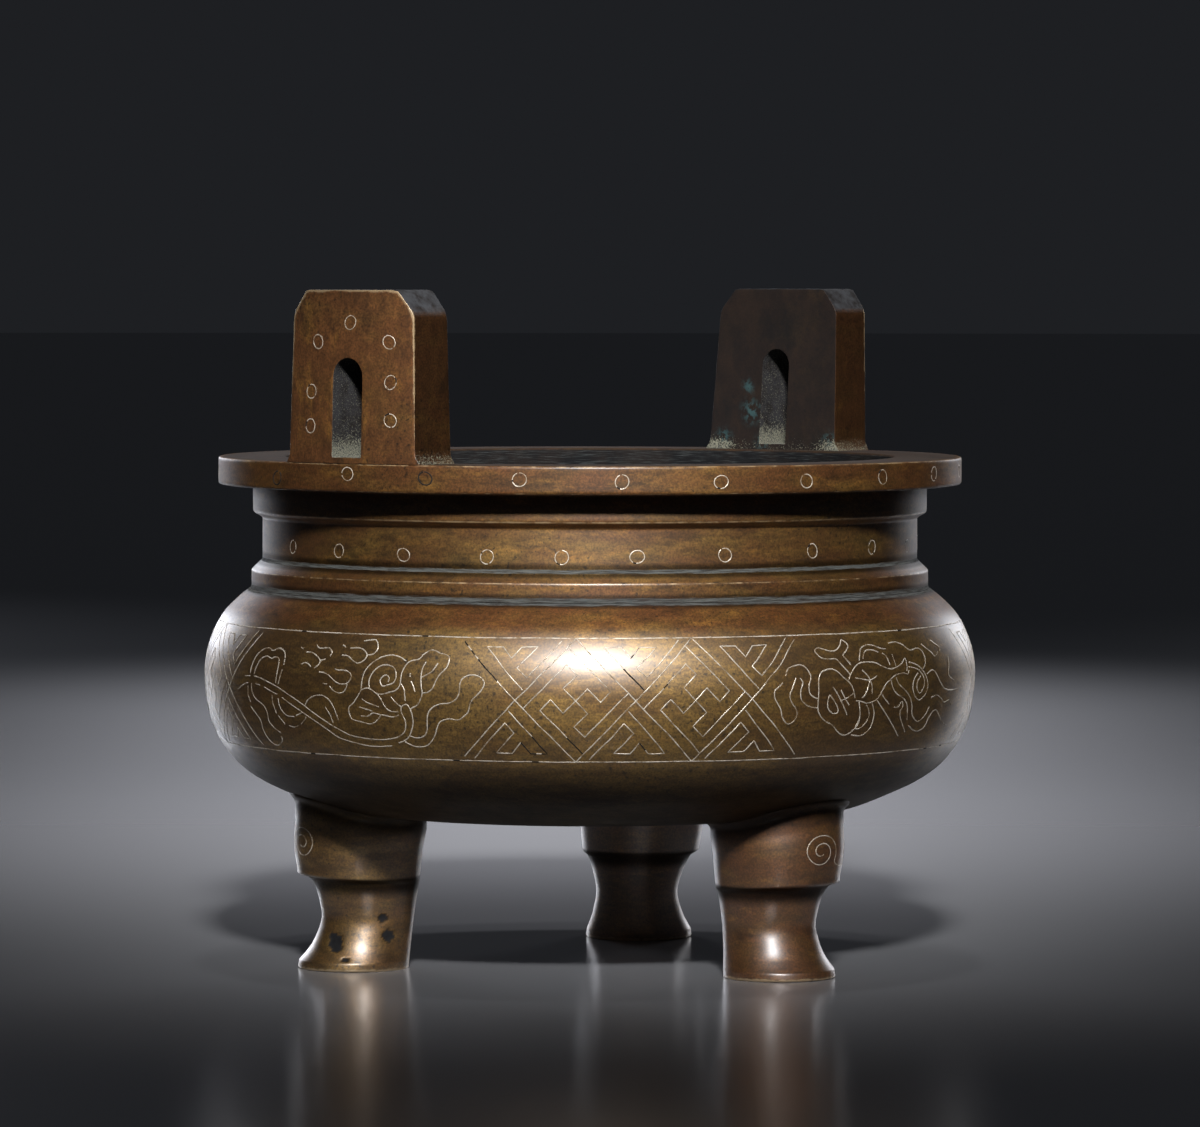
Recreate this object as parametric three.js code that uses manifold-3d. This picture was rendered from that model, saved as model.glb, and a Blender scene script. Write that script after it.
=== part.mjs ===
// Tripod incense burner: a cast bronze bowl with two upright loop handles and three waisted legs,
// ornamented with silver wire hammered into fine grooves.
// Millimetres, +Z up. The origin is on the table, under the centre of the bowl. The handles stand
// on the X axis; one leg points to -Y.
import * as THREE from "three";
import { mergeVertices } from "three/addons/utils/BufferGeometryUtils.js";
import Module from "manifold-3d";

const wasm = await Module();
wasm.setup();

// Driving dimensions
const BELLY_RADIUS = 65.0; // widest part of the bowl
const RIM_RADIUS = 62.6; // outside of the flat lip
const RIM_TOP = 85.3; // height of the lip above the table
const RIM_THICKNESS = 4.6;
const MOUTH_RADIUS = 51.0;
const FLANGE_RADIUS = 56.8; // the collar under the lip
const NECK_RADIUS = 55.2;
const COLLAR_RADIUS = 57.05; // the step between neck and shoulder
const BASE_HEIGHT = 25.6; // underside of the bowl above the table
const WALL = 4.0;
const HANDLE_TOP = 113.4;
const LEG_CIRCLE = 40.8; // distance of the legs' spigots from the centre
const LEG_TURN = -3.4; // the legs sit a little off the handles' axis, as the casting was set up by hand
// Each leg touches one straight line on the side that faces inwards. footInside is that line's distance from
// the bowl's axis on the table, lean how far it comes inwards for each millimetre upwards, sway how far the
// leg leans aside, and waist how much thinner it is than the pattern at its narrowest.
const LEGS = {
  leg_front: { direction: -90, footInside: 32.9, lean: 0.1, sway: 0.01, waist: 0 },
  leg_back_right: { direction: 30, footInside: 32.6, lean: 0.108, sway: -0.032, waist: 0.6 },
  leg_back_left: { direction: 150, footInside: 32.4, lean: 0.122, sway: 0, waist: 0 },
};
const GAP = 0.3; // clearance between pieces that seat on each other
const LATHE_SEGMENTS = 56;

const DEGREE = Math.PI / 180;

// Materials
const bronze = new THREE.MeshStandardMaterial({
  name: "bronze",
  color: 0x6b4a26,
  metalness: 0.9,
  roughness: 0.38,
});
const silver = new THREE.MeshStandardMaterial({
  name: "silver",
  color: 0xd9d2c2,
  metalness: 1.0,
  roughness: 0.3,
});

// A closed geometry as a manifold-3d solid, with only its positions kept and merged.
function solidFrom(geometry) {
  const bare = geometry.index ? geometry.toNonIndexed() : geometry.clone();
  bare.deleteAttribute("normal");
  bare.deleteAttribute("uv");
  const merged = mergeVertices(bare, 1e-4);
  return new wasm.Manifold(
    new wasm.Mesh({
      numProp: 3,
      vertProperties: new Float32Array(merged.attributes.position.array),
      triVerts: new Uint32Array(merged.index.array),
    }),
  );
}

// A manifold-3d solid as a geometry that three.js can draw.
function geometryFrom(solid) {
  const mesh = solid.getMesh();
  const geometry = new THREE.BufferGeometry();
  geometry.setAttribute("position", new THREE.BufferAttribute(mesh.vertProperties, 3));
  geometry.setIndex(new THREE.BufferAttribute(mesh.triVerts, 1));
  const flat = geometry.toNonIndexed();
  flat.computeVertexNormals();
  return flat;
}

// Revolves an outline of (radius, height) points about Z.
function revolve(outline, segments = LATHE_SEGMENTS) {
  const geometry = new THREE.LatheGeometry(outline, segments);
  return geometry.rotateX(Math.PI / 2);
}

// Outside of the bowl below the collar, from the collar's foot to the edge of the flat underside.
const bellyCurve = new THREE.SplineCurve(
  [
    [COLLAR_RADIUS + 0.2, 63.2],
    [59.6, 61.3],
    [62.0, 58.7],
    [63.9, 54.9],
    [64.8, 51.3],
    [BELLY_RADIUS, 47.7],
    [64.3, 42.7],
    [62.7, 38.3],
    [59.8, 34.2],
    [56.0, 31.3],
    [51.0, 28.9],
    [46.0, 26.9],
    [41.5, 26.0],
    [36.0, BASE_HEIGHT],
  ].map(([radius, height]) => new THREE.Vector2(radius, height)),
);

// Inside of the bowl, from the centre of its floor to the foot of the neck.
const floorCurve = new THREE.SplineCurve(
  [
    [30.0, BASE_HEIGHT + WALL],
    [41.0, 30.2],
    [50.0, 32.9],
    [57.0, 37.2],
    [60.6, 43.4],
    [60.9, 49.6],
    [58.8, 55.4],
    [54.8, 60.0],
    [51.4, 64.0],
  ].map(([radius, height]) => new THREE.Vector2(radius, height)),
);

// The silver border wires lie in turned grooves on the belly, at these heights.
const WIRE_WIDTH = 0.34;
const WIRE_DEPTH = 0.4;
const GROOVE_PLAY = 0.08; // left each side of a wire and under it, so that it is a piece of its own
const BORDER_HEIGHTS = { frieze_upper_wire: 57.85, frieze_lower_wire: 38.0 };

// The share of the belly curve's length at which it passes a height.
function bellyShareAt(height) {
  let low = 0;
  let high = 1;
  for (let step = 0; step < 40; step++) {
    const middle = (low + high) / 2;
    if (bellyCurve.getPointAt(middle).y > height) low = middle;
    else high = middle;
  }
  return (low + high) / 2;
}

// Four corners of a groove or wire section at a height of the belly, from its upper edge round to its lower.
function sectionOnBelly(height, width, depth) {
  const share = bellyShareAt(height);
  const middle = bellyCurve.getPointAt(share);
  const along = bellyCurve.getTangentAt(share);
  const inward = new THREE.Vector2(along.y, -along.x);
  const upper = middle.clone().addScaledVector(along, -width / 2);
  const lower = middle.clone().addScaledVector(along, width / 2);
  return [
    upper,
    upper.clone().addScaledVector(inward, depth),
    lower.clone().addScaledVector(inward, depth),
    lower,
  ];
}

// The belly's outline with its two grooves, top to bottom.
function bellyOutline() {
  const grooves = Object.values(BORDER_HEIGHTS).map((height) => ({
    share: bellyShareAt(height),
    corners: sectionOnBelly(height, WIRE_WIDTH + 2 * GROOVE_PLAY, WIRE_DEPTH + GROOVE_PLAY),
  }));
  const steps = 15;
  const clear = 0.35 / steps; // a step this near a groove gives way to the groove's own edge
  const points = [];
  for (let step = 0; step <= steps; step++) {
    const share = step / steps;
    const near = grooves.find((groove) => Math.abs(groove.share - share) < clear);
    for (const groove of grooves)
      if (!groove.done && groove.share <= share) {
        points.push(...groove.corners);
        groove.done = true;
      }
    if (!near) points.push(bellyCurve.getPointAt(share));
  }
  return points;
}

// The bowl's whole section: the inside of floor and neck, the lip, the mouldings and the belly.
function bowlOutline() {
  const rimBottom = RIM_TOP - RIM_THICKNESS;
  const inside = [new THREE.Vector2(0, BASE_HEIGHT + WALL), ...floorCurve.getPoints(9)];
  const mouldings = [
    [51.2, 69.0],
    [51.2, 82.0],
    [MOUTH_RADIUS, RIM_TOP - 0.5],
    [MOUTH_RADIUS + 0.5, RIM_TOP],
    [RIM_RADIUS - 0.35, RIM_TOP],
    [RIM_RADIUS, RIM_TOP - 0.35],
    [RIM_RADIUS, rimBottom + 0.9],
    [RIM_RADIUS - 0.25, rimBottom + 0.3],
    [RIM_RADIUS - 0.9, rimBottom],
    [FLANGE_RADIUS + 0.3, rimBottom - 0.5],
    [FLANGE_RADIUS, rimBottom - 0.9],
    [FLANGE_RADIUS, 76.6],
    [FLANGE_RADIUS - 0.35, 75.8],
    [FLANGE_RADIUS - 1.1, 75.25],
    [NECK_RADIUS, 74.6],
    [NECK_RADIUS, 68.6],
    [NECK_RADIUS + 0.4, 67.9],
    [COLLAR_RADIUS - 0.35, 67.0],
    [COLLAR_RADIUS, 66.5],
    [COLLAR_RADIUS, 63.7],
  ].map(([radius, height]) => new THREE.Vector2(radius, height));
  const underside = new THREE.Vector2(0, BASE_HEIGHT);
  return [...inside, ...mouldings, ...bellyOutline(), underside].reverse();
}

// Height of the bowl's outside at a radius, on its lower half.
const lowerShare = bellyShareAt(47.7);
function undersideAt(radius) {
  if (radius <= 36) return BASE_HEIGHT;
  let low = lowerShare;
  let high = 1;
  for (let step = 0; step < 30; step++) {
    const middle = (low + high) / 2;
    if (bellyCurve.getPointAt(middle).x > radius) low = middle;
    else high = middle;
  }
  return bellyCurve.getPointAt(low).y;
}

// Handles: a slab with the lip's own curve outside, tapering upwards, chamfered at the top corners and
// pierced by an arched slot. A tenon under it is let into the lip.
const HANDLE_HALF_WIDTH = 13.4; // at the foot
const HANDLE_TOP_HALF_WIDTH = 12.7;
const HANDLE_FOOT_THICKNESS = 10.4;
const HANDLE_TOP_THICKNESS = 9.5;
const HANDLE_LEAN = { handle_right: -0.9, handle_left: 0.65 }; // how far the top leans along the lip from the foot
const CHAMFER = { across: 3.1, down: 3.8 };
const SLOT = { halfWidth: 3.1, bottom: RIM_TOP + 1.0, top: RIM_TOP + 17.1 };
const TENON = { width: 13, thickness: 4, length: 3, radius: 57.6 };

function handleFace() {
  const foot = RIM_TOP + GAP;
  const flare = 0.9; // the sides run out into the lip in a small hollow
  const face = new THREE.Shape();
  face.moveTo(-HANDLE_HALF_WIDTH - flare, foot);
  face.lineTo(HANDLE_HALF_WIDTH + flare, foot);
  face.quadraticCurveTo(HANDLE_HALF_WIDTH, foot + 0.2, HANDLE_HALF_WIDTH - 0.1, foot + 1.6);
  face.lineTo(HANDLE_TOP_HALF_WIDTH, HANDLE_TOP - CHAMFER.down);
  face.quadraticCurveTo(
    HANDLE_TOP_HALF_WIDTH - 0.2,
    HANDLE_TOP - CHAMFER.down + 0.7,
    HANDLE_TOP_HALF_WIDTH - 0.55,
    HANDLE_TOP - CHAMFER.down + 1.1,
  );
  face.lineTo(HANDLE_TOP_HALF_WIDTH - CHAMFER.across, HANDLE_TOP);
  face.lineTo(-HANDLE_TOP_HALF_WIDTH + CHAMFER.across, HANDLE_TOP);
  face.lineTo(-HANDLE_TOP_HALF_WIDTH + 0.55, HANDLE_TOP - CHAMFER.down + 1.1);
  face.quadraticCurveTo(
    -HANDLE_TOP_HALF_WIDTH + 0.2,
    HANDLE_TOP - CHAMFER.down + 0.7,
    -HANDLE_TOP_HALF_WIDTH,
    HANDLE_TOP - CHAMFER.down,
  );
  face.lineTo(-HANDLE_HALF_WIDTH + 0.1, foot + 1.6);
  face.quadraticCurveTo(-HANDLE_HALF_WIDTH, foot + 0.2, -HANDLE_HALF_WIDTH - flare, foot);
  const slot = new THREE.Path();
  slot.moveTo(-SLOT.halfWidth, SLOT.bottom);
  slot.lineTo(-SLOT.halfWidth, SLOT.top - SLOT.halfWidth);
  slot.absarc(0, SLOT.top - SLOT.halfWidth, SLOT.halfWidth, Math.PI, 0, true);
  slot.lineTo(SLOT.halfWidth, SLOT.bottom);
  face.holes.push(slot);
  return face;
}

// A block from its size and the place of its centre.
function block(width, depth, height, x, y, z) {
  return new THREE.BoxGeometry(width, depth, height).translate(x, y, z);
}

// The handle on +X, as a solid, its top leaning along the lip.
function handleSolid(sideways) {
  const blankDepth = 16;
  const slab = new THREE.ExtrudeGeometry(handleFace(), {
    depth: blankDepth,
    bevelEnabled: false,
    curveSegments: 6,
  });
  // The face is drawn across Y and up Z, and the slab runs outwards along +X.
  slab.rotateX(Math.PI / 2).rotateZ(Math.PI / 2);
  slab.translate(RIM_RADIUS - blankDepth + 2, 0, 0);
  const share = sideways / (HANDLE_TOP - RIM_TOP);
  slab.applyMatrix4(new THREE.Matrix4().makeShear(0, 0, 0, 0, 0, share));
  slab.translate(0, -share * HANDLE_TOP, 0);
  const lipCurve = new THREE.CylinderGeometry(RIM_RADIUS, RIM_RADIUS, 80, 120)
    .rotateX(Math.PI / 2)
    .translate(0, 0, RIM_TOP + 20);
  // The inner face leans outwards from foot to top.
  const lean = Math.atan(
    (HANDLE_FOOT_THICKNESS - HANDLE_TOP_THICKNESS) / (HANDLE_TOP - RIM_TOP),
  );
  const inside = block(40, 60, 80, -20, 0, 0)
    .rotateY(lean)
    .translate(RIM_RADIUS - HANDLE_FOOT_THICKNESS, 0, RIM_TOP);
  const tenon = block(
    TENON.thickness,
    TENON.width,
    TENON.length + 1,
    TENON.radius,
    0,
    RIM_TOP + GAP + 0.5 - TENON.length / 2,
  );
  return solidFrom(slab)
    .intersect(solidFrom(lipCurve))
    .subtract(solidFrom(inside))
    .add(solidFrom(tenon));
}

// The pocket in the lip that takes a handle's tenon, on +X.
function mortiseSolid() {
  return solidFrom(
    block(
      TENON.thickness + 2 * GAP,
      TENON.width + 2 * GAP,
      TENON.length + GAP + 1,
      TENON.radius,
      0,
      RIM_TOP + (1 - TENON.length - GAP) / 2,
    ),
  );
}

// Legs: round in section. All sections touch one straight line on the side that faces inwards, so the band,
// the crisp ledge of the knee, the drawn-in waist and the toe only show on the outer side.
const LEG_PROFILE = [
  // [height, radius of the section]
  [0.0, 9.05],
  [0.35, 9.25],
  [1.4, 9.15],
  [2.6, 8.7],
  [4.1, 8.25],
  [5.8, 7.95],
  [8.3, 7.7],
  [10.6, 8.0],
  [13.0, 8.45],
  [14.7, 8.9],
  [15.7, 9.55],
  [16.1, 10.2],
  [18.4, 10.5],
  [21.5, 10.8],
];
const WAIST_HEIGHT = 8.3;
const WAIST_REACH = 5.0; // how far from the waist, up and down, a thinner waist is felt
const KNEE_HEIGHT = 16.0;
const KNEE_REACH = 5.0; // how far from the knee, up and down, its tilt is felt
const KNEE_TILT = 1.2; // how much lower the knee's edge is on the inner side than on the outer
const LEG_TOP_RADIUS = 11.0;
const LEG_SIDES = 20;
const SPIGOT = { radius: 4, length: 2.4 };
// Where the leg meets the bowl it widens into a small hollow fillet: [distance under the bowl, extra radius].
const FILLET = [
  [1.3, 0.05],
  [0.55, 0.3],
  [GAP, 0.75],
];

// Evenly spaced angles round a leg's section.
function legAngles() {
  return Array.from({ length: LEG_SIDES }, (_, side) => (side / LEG_SIDES) * 2 * Math.PI);
}

// A share that is 1 at a height and fades above and below it.
function nearHeight(height, middle, reach) {
  const distance = (height - middle) / reach;
  return Math.exp(-distance * distance);
}

// The middle of a leg's section at a height, for a leg that stands on +X.
function legMiddle(leg, height, radius) {
  return new THREE.Vector2(leg.footInside - leg.lean * height + radius, leg.sway * height);
}

// One section of a leg.
function legRing(leg, height, patternRadius) {
  const radius = patternRadius - leg.waist * nearHeight(height, WAIST_HEIGHT, WAIST_REACH);
  const middle = legMiddle(leg, height, radius);
  const tilt = KNEE_TILT * nearHeight(height, KNEE_HEIGHT, KNEE_REACH);
  return legAngles().map((angle) => {
    const sink = (tilt * (1 - Math.cos(angle))) / 2;
    return new THREE.Vector3(
      middle.x + radius * Math.cos(angle),
      middle.y + radius * Math.sin(angle),
      Math.max(0, height - sink),
    );
  });
}

// A section of a leg's fillet, at a distance under the bowl.
function filletRing(leg, under, extra) {
  const middle = legMiddle(leg, BASE_HEIGHT, LEG_TOP_RADIUS);
  return legAngles().map((angle) => {
    const x = middle.x + (LEG_TOP_RADIUS + extra) * Math.cos(angle);
    const y = middle.y + (LEG_TOP_RADIUS + extra) * Math.sin(angle);
    return new THREE.Vector3(x, y, undersideAt(Math.hypot(x, y)) - under);
  });
}

// Joins rings of equal length into a closed solid, with a fan over each end.
function loft(rings) {
  const sides = rings[0].length;
  const positions = [];
  const triangle = (a, b, c) => positions.push(...a.toArray(), ...b.toArray(), ...c.toArray());
  const centreOf = (ring) =>
    ring.reduce((sum, point) => sum.add(point), new THREE.Vector3()).divideScalar(sides);
  const bottom = centreOf(rings[0]);
  const top = centreOf(rings.at(-1));
  for (let side = 0; side < sides; side++) {
    const next = (side + 1) % sides;
    triangle(bottom, rings[0][next], rings[0][side]);
    triangle(top, rings.at(-1)[side], rings.at(-1)[next]);
    for (let row = 0; row + 1 < rings.length; row++) {
      const [low, high] = [rings[row], rings[row + 1]];
      triangle(low[side], low[next], high[next]);
      triangle(low[side], high[next], high[side]);
    }
  }
  const geometry = new THREE.BufferGeometry();
  geometry.setAttribute("position", new THREE.Float32BufferAttribute(positions, 3));
  return geometry;
}

function spigotSolid(radius, length, top) {
  const pin = new THREE.CylinderGeometry(radius, radius, length, 24)
    .rotateX(Math.PI / 2)
    .translate(LEG_CIRCLE, 0, top - length / 2);
  return solidFrom(pin);
}

// A leg on +X, as a solid, its top shaped to the bowl.
function legSolid(leg) {
  const shaft = LEG_PROFILE.map(([height, radius]) => legRing(leg, height, radius));
  const fillet = FILLET.map(([under, extra]) => filletRing(leg, under, extra));
  // The top face follows the bowl in rings that close towards the middle.
  const cap = [0.66, 0.33].map((share) =>
    fillet.at(-1).map((point) => {
      const x = LEG_CIRCLE + (point.x - LEG_CIRCLE) * share;
      const y = point.y * share;
      return new THREE.Vector3(x, y, undersideAt(Math.hypot(x, y)) - GAP);
    }),
  );
  const spigotTop = undersideAt(LEG_CIRCLE) + SPIGOT.length;
  return solidFrom(loft([...shaft, ...fillet, ...cap])).add(
    spigotSolid(SPIGOT.radius, SPIGOT.length + 3, spigotTop),
  );
}

function socketSolid() {
  const depth = SPIGOT.length + GAP;
  return spigotSolid(SPIGOT.radius + GAP, depth + 2, undersideAt(LEG_CIRCLE) + depth);
}

// The belly's lattice: four panels of wire in a key-fret pattern between the border wires. Its lines are drawn
// on a grid whose unit is half a lozenge, across and up, with 0,0 at the panel's middle crossing.
const PANEL_DIRECTIONS = { front_left: 225, front_right: 315, back_right: 45, back_left: 135 };
const LOZENGE_ANGLE = 8.55; // half a lozenge, in degrees round the bowl
const FRIEZE_TOP = BORDER_HEIGHTS.frieze_upper_wire;
const FRIEZE_BOTTOM = BORDER_HEIGHTS.frieze_lower_wire;
const CROSSINGS = [-2, 0, 2]; // where the panel's long lines cross, half-way up
const PANEL_END = 0.93; // how far from the outer crossings the panel's long lines run
const LAID_HEIGHT = 0.22;
const LAID_STEP = 3.6; // longest stretch of a laid wire, in millimetres
const LAID_LIFT = 0.11; // keeps those stretches clear of the belly's curve

// A lozenge's fret, on axes along its sides; the second strand is the first one turned a quarter.
const FRET = [
  [0.93, 0.74],
  [-0.44, 0.74],
  [-0.44, 0.4],
  [0, 0.4],
  [0, -0.4],
  [0.44, -0.4],
  [0.44, -0.74],
  [-0.93, -0.74],
];

// The hook over a crossing; the one under it is the same, turned half round.
const HOOK = [
  [0.1, 0.19],
  [-0.52, 0.86],
  [-0.23, 0.86],
  [-0.08, 0.68],
  [0.08, 0.86],
  [0.36, 0.86],
  [0.03, 0.53],
  [0.19, 0.37],
  [0.74, 0.96],
];

// A point of the belly, with the direction straight out of it, for a point of the grid.
function bellyFrame([across, up]) {
  const turn = across * LOZENGE_ANGLE * DEGREE;
  const height = (FRIEZE_TOP + FRIEZE_BOTTOM) / 2 + (up * (FRIEZE_TOP - FRIEZE_BOTTOM)) / 2;
  const share = bellyShareAt(height);
  const spot = bellyCurve.getPointAt(share);
  const along = bellyCurve.getTangentAt(share);
  const upwards = new THREE.Vector3(0, 0, 1);
  return {
    point: new THREE.Vector3(spot.x, 0, spot.y).applyAxisAngle(upwards, turn),
    normal: new THREE.Vector3(-along.y, 0, along.x).applyAxisAngle(upwards, turn),
  };
}

// A wire laid over the belly along straight lines of the grid: three-sided, flat side down, mitred at corners.
function laidWire(corners) {
  const across = LOZENGE_ANGLE * DEGREE * BELLY_RADIUS;
  const upwards = (FRIEZE_TOP - FRIEZE_BOTTOM) / 2;
  const grid = [corners[0]];
  corners.slice(1).forEach(([x, y], index) => {
    const [fromX, fromY] = corners[index];
    const length = Math.hypot((x - fromX) * across, (y - fromY) * upwards);
    const parts = Math.ceil(length / LAID_STEP);
    for (let part = 1; part <= parts; part++)
      grid.push([fromX + ((x - fromX) * part) / parts, fromY + ((y - fromY) * part) / parts]);
  });
  const frames = grid.map(bellyFrame);
  const rings = frames.map(({ point, normal }, index) => {
    const before = frames[Math.max(index - 1, 0)].point;
    const after = frames[Math.min(index + 1, frames.length - 1)].point;
    const arriving = index > 0 ? point.clone().sub(before).normalize() : null;
    const leaving = index + 1 < frames.length ? after.clone().sub(point).normalize() : null;
    const way = (arriving ?? leaving).clone().add(leaving ?? arriving).normalize();
    const stretch = arriving && leaving ? 1 / way.dot(arriving) : 1;
    const side = normal.clone().cross(way).normalize().multiplyScalar((WIRE_WIDTH / 2) * stretch);
    const foot = point.clone().addScaledVector(normal, LAID_LIFT);
    return [
      foot.clone().add(side),
      foot.clone().addScaledVector(normal, LAID_HEIGHT),
      foot.clone().sub(side),
    ];
  });
  return solidFrom(loft(rings));
}

// The wires of one panel, by name.
function panelWires(panel) {
  const wires = new Map();
  const longLines = CROSSINGS.flatMap((crossing) => {
    const left = crossing - (crossing === CROSSINGS[0] ? PANEL_END : 1);
    const right = crossing + (crossing === CROSSINGS.at(-1) ? PANEL_END : 1);
    return [
      [[left, crossing - left], [right, crossing - right]],
      [[left, left - crossing], [right, right - crossing]],
    ];
  });
  const net = longLines.map(laidWire).reduce((joined, line) => joined.add(line));
  wires.set(`lattice_${panel}`, net);
  [-1, 1].forEach((middle, index) => {
    const strands = [FRET, FRET.map(([along, over]) => [over, -along])].map((strand) =>
      laidWire(strand.map(([along, over]) => [middle + (along + over) / 2, (along - over) / 2])),
    );
    wires.set(`fret_${panel}_${index + 1}`, strands[0].add(strands[1]));
  });
  CROSSINGS.forEach((crossing, index) => {
    const above = HOOK.map(([x, y]) => [crossing + x, y]);
    const below = HOOK.map(([x, y]) => [crossing - x, -y]);
    wires.set(`hook_${panel}_upper_${index + 1}`, laidWire(above));
    wires.set(`hook_${panel}_lower_${index + 1}`, laidWire(below));
  });
  return wires;
}

// The assembly
const incenseBurner = new THREE.Group();

function place(name, geometry, material, turn = 0) {
  const mesh = new THREE.Mesh(geometry, material);
  mesh.name = name;
  mesh.rotation.z = turn;
  incenseBurner.add(mesh);
}

let bowl = solidFrom(revolve(bowlOutline()));
for (const side of [0, 180]) bowl = bowl.subtract(mortiseSolid().rotate([0, 0, side]));
for (const leg of Object.values(LEGS))
  bowl = bowl.subtract(socketSolid().rotate([0, 0, leg.direction + LEG_TURN]));
place("bowl", geometryFrom(bowl), bronze);

place("handle_right", geometryFrom(handleSolid(HANDLE_LEAN.handle_right)), bronze);
place("handle_left", geometryFrom(handleSolid(HANDLE_LEAN.handle_left)), bronze, Math.PI);

for (const [name, leg] of Object.entries(LEGS))
  place(name, geometryFrom(legSolid(leg)), bronze, (leg.direction + LEG_TURN) * DEGREE);

for (const [name, height] of Object.entries(BORDER_HEIGHTS)) {
  const corners = sectionOnBelly(height, WIRE_WIDTH, WIRE_DEPTH);
  place(name, revolve([...corners, corners[0]]), silver);
}

for (const [panel, direction] of Object.entries(PANEL_DIRECTIONS))
  for (const [name, wire] of panelWires(panel))
    place(name, geometryFrom(wire), silver, direction * DEGREE);

export default incenseBurner;
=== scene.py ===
"""A bronze tripod incense burner with silver wire inlay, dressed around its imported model.

Sizes are millimetres, and become metres where a mesh is made. The origin is on the table under the
middle of the bowl, +Z is up, the handles stand on the X axis and the front leg points to -Y.
"""

from __future__ import annotations

import logging
import math
import random
from collections.abc import Callable, Iterable, Sequence
from dataclasses import dataclass
from enum import Enum
from typing import ClassVar

import bmesh
import bpy
from mathutils import Matrix, Vector, noise
from mathutils.kdtree import KDTree

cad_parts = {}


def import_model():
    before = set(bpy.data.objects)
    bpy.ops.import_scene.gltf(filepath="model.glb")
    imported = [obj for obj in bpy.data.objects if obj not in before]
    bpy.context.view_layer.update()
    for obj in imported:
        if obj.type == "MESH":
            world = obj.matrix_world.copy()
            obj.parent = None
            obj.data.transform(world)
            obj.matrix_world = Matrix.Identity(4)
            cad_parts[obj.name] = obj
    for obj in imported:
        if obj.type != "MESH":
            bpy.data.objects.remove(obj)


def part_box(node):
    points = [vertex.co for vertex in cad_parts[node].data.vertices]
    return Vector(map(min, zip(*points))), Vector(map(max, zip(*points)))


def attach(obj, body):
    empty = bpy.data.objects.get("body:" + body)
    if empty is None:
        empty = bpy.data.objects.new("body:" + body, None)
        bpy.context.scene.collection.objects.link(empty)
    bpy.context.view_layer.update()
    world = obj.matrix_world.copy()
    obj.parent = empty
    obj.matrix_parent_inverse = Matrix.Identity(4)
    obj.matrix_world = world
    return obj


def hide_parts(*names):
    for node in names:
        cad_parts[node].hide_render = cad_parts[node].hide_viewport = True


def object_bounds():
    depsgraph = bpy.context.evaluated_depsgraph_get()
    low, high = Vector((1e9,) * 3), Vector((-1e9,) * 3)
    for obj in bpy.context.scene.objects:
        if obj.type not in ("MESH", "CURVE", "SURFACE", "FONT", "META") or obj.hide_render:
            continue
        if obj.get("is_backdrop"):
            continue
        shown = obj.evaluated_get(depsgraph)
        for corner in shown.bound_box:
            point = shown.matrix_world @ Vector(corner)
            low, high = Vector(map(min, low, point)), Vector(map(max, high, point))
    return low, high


LOG = logging.getLogger("incense_burner")
MM = 0.001
BODY = "root"
MARKS = ("wear", "dust", "soot", "slate", "shade", "tint", "green")
MERGE_DISTANCE = 1e-4
CLOSED_WITHIN = 1e-3

Flat = tuple[float, float]
Place = tuple[float, float, float]
Line = list[Vector]
Rule = Callable[[bmesh.types.BMVert], float]


# Lines and outlines


def smooth_line(points: Sequence[Flat], steps: int) -> list[Flat]:
    """Draws a uniform Catmull-Rom line through points.

    Args:
        points: The points that the line passes through, in order.
        steps: How many steps each stretch between two points gets.

    Returns:
        The points of the line, with both ends.
    """
    line: list[Flat] = []
    last = len(points) - 1
    for index in range(last):
        before, start = points[max(index - 1, 0)], points[index]
        end, after = points[index + 1], points[min(index + 2, last)]
        for step in range(steps):
            t = step / steps
            line.append(
                tuple(
                    0.5
                    * (
                        2 * b
                        + (c - a) * t
                        + (2 * a - 5 * b + 4 * c - d) * t * t
                        + (3 * b - a - 3 * c + d) * t**3
                    )
                    for a, b, c, d in zip(before, start, end, after)
                )
            )
    return [*line, tuple(points[last])]


def soft_corners(corners: Sequence[Place], steps: int = 5) -> list[Flat]:
    """Rounds the corners of an open outline.

    Args:
        corners: Each corner as its two coordinates and how far from it the rounding starts.
        steps: How many steps each rounding gets.

    Returns:
        The outline with its corners rounded.
    """
    outline: list[Flat] = []
    for index, (x, y, reach) in enumerate(corners):
        corner = Vector((x, y))
        if reach == 0 or index in (0, len(corners) - 1):
            outline.append((x, y))
            continue
        back = (Vector(corners[index - 1][:2]) - corner).normalized() * reach
        on = (Vector(corners[index + 1][:2]) - corner).normalized() * reach
        for step in range(steps + 1):
            t = step / steps
            point = corner + back * (1 - t) ** 2 + on * t * t
            outline.append((point.x, point.y))
    return outline


def even_line(points: Sequence[Sequence[float]], spacing: float) -> list[Vector]:
    """Fills in points along a line so that no step is longer than the spacing; its own points stay."""
    vectors = [Vector(point) for point in points]
    line = [vectors[0]]
    for start, end in zip(vectors, vectors[1:]):
        parts = max(1, math.ceil((end - start).length / spacing))
        line.extend(start.lerp(end, part / parts) for part in range(1, parts + 1))
    return line


def polar(angle: float, radius: float, height: float) -> Vector:
    """A point from its angle round +Z in degrees, its distance from the axis and its height."""
    turn = math.radians(angle)
    return Vector((radius * math.cos(turn), radius * math.sin(turn), height))


def turned_by(angle: float) -> Matrix:
    """A turn about +Z by an angle in degrees."""
    return Matrix.Rotation(math.radians(angle), 3, "Z")


def half_turn(radius: float, steps: int = 12) -> list[Flat]:
    """The points of half a circle round the origin, from its right end over the top to its left."""
    turns = [math.pi * step / steps for step in range(steps + 1)]
    return [(radius * math.cos(turn), radius * math.sin(turn)) for turn in turns]


# Meshes


def linked(name: str, data: bpy.types.ID) -> bpy.types.Object:
    """Adds an object to the scene."""
    made = bpy.data.objects.new(name, data)
    bpy.context.scene.collection.objects.link(made)
    return made


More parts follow.
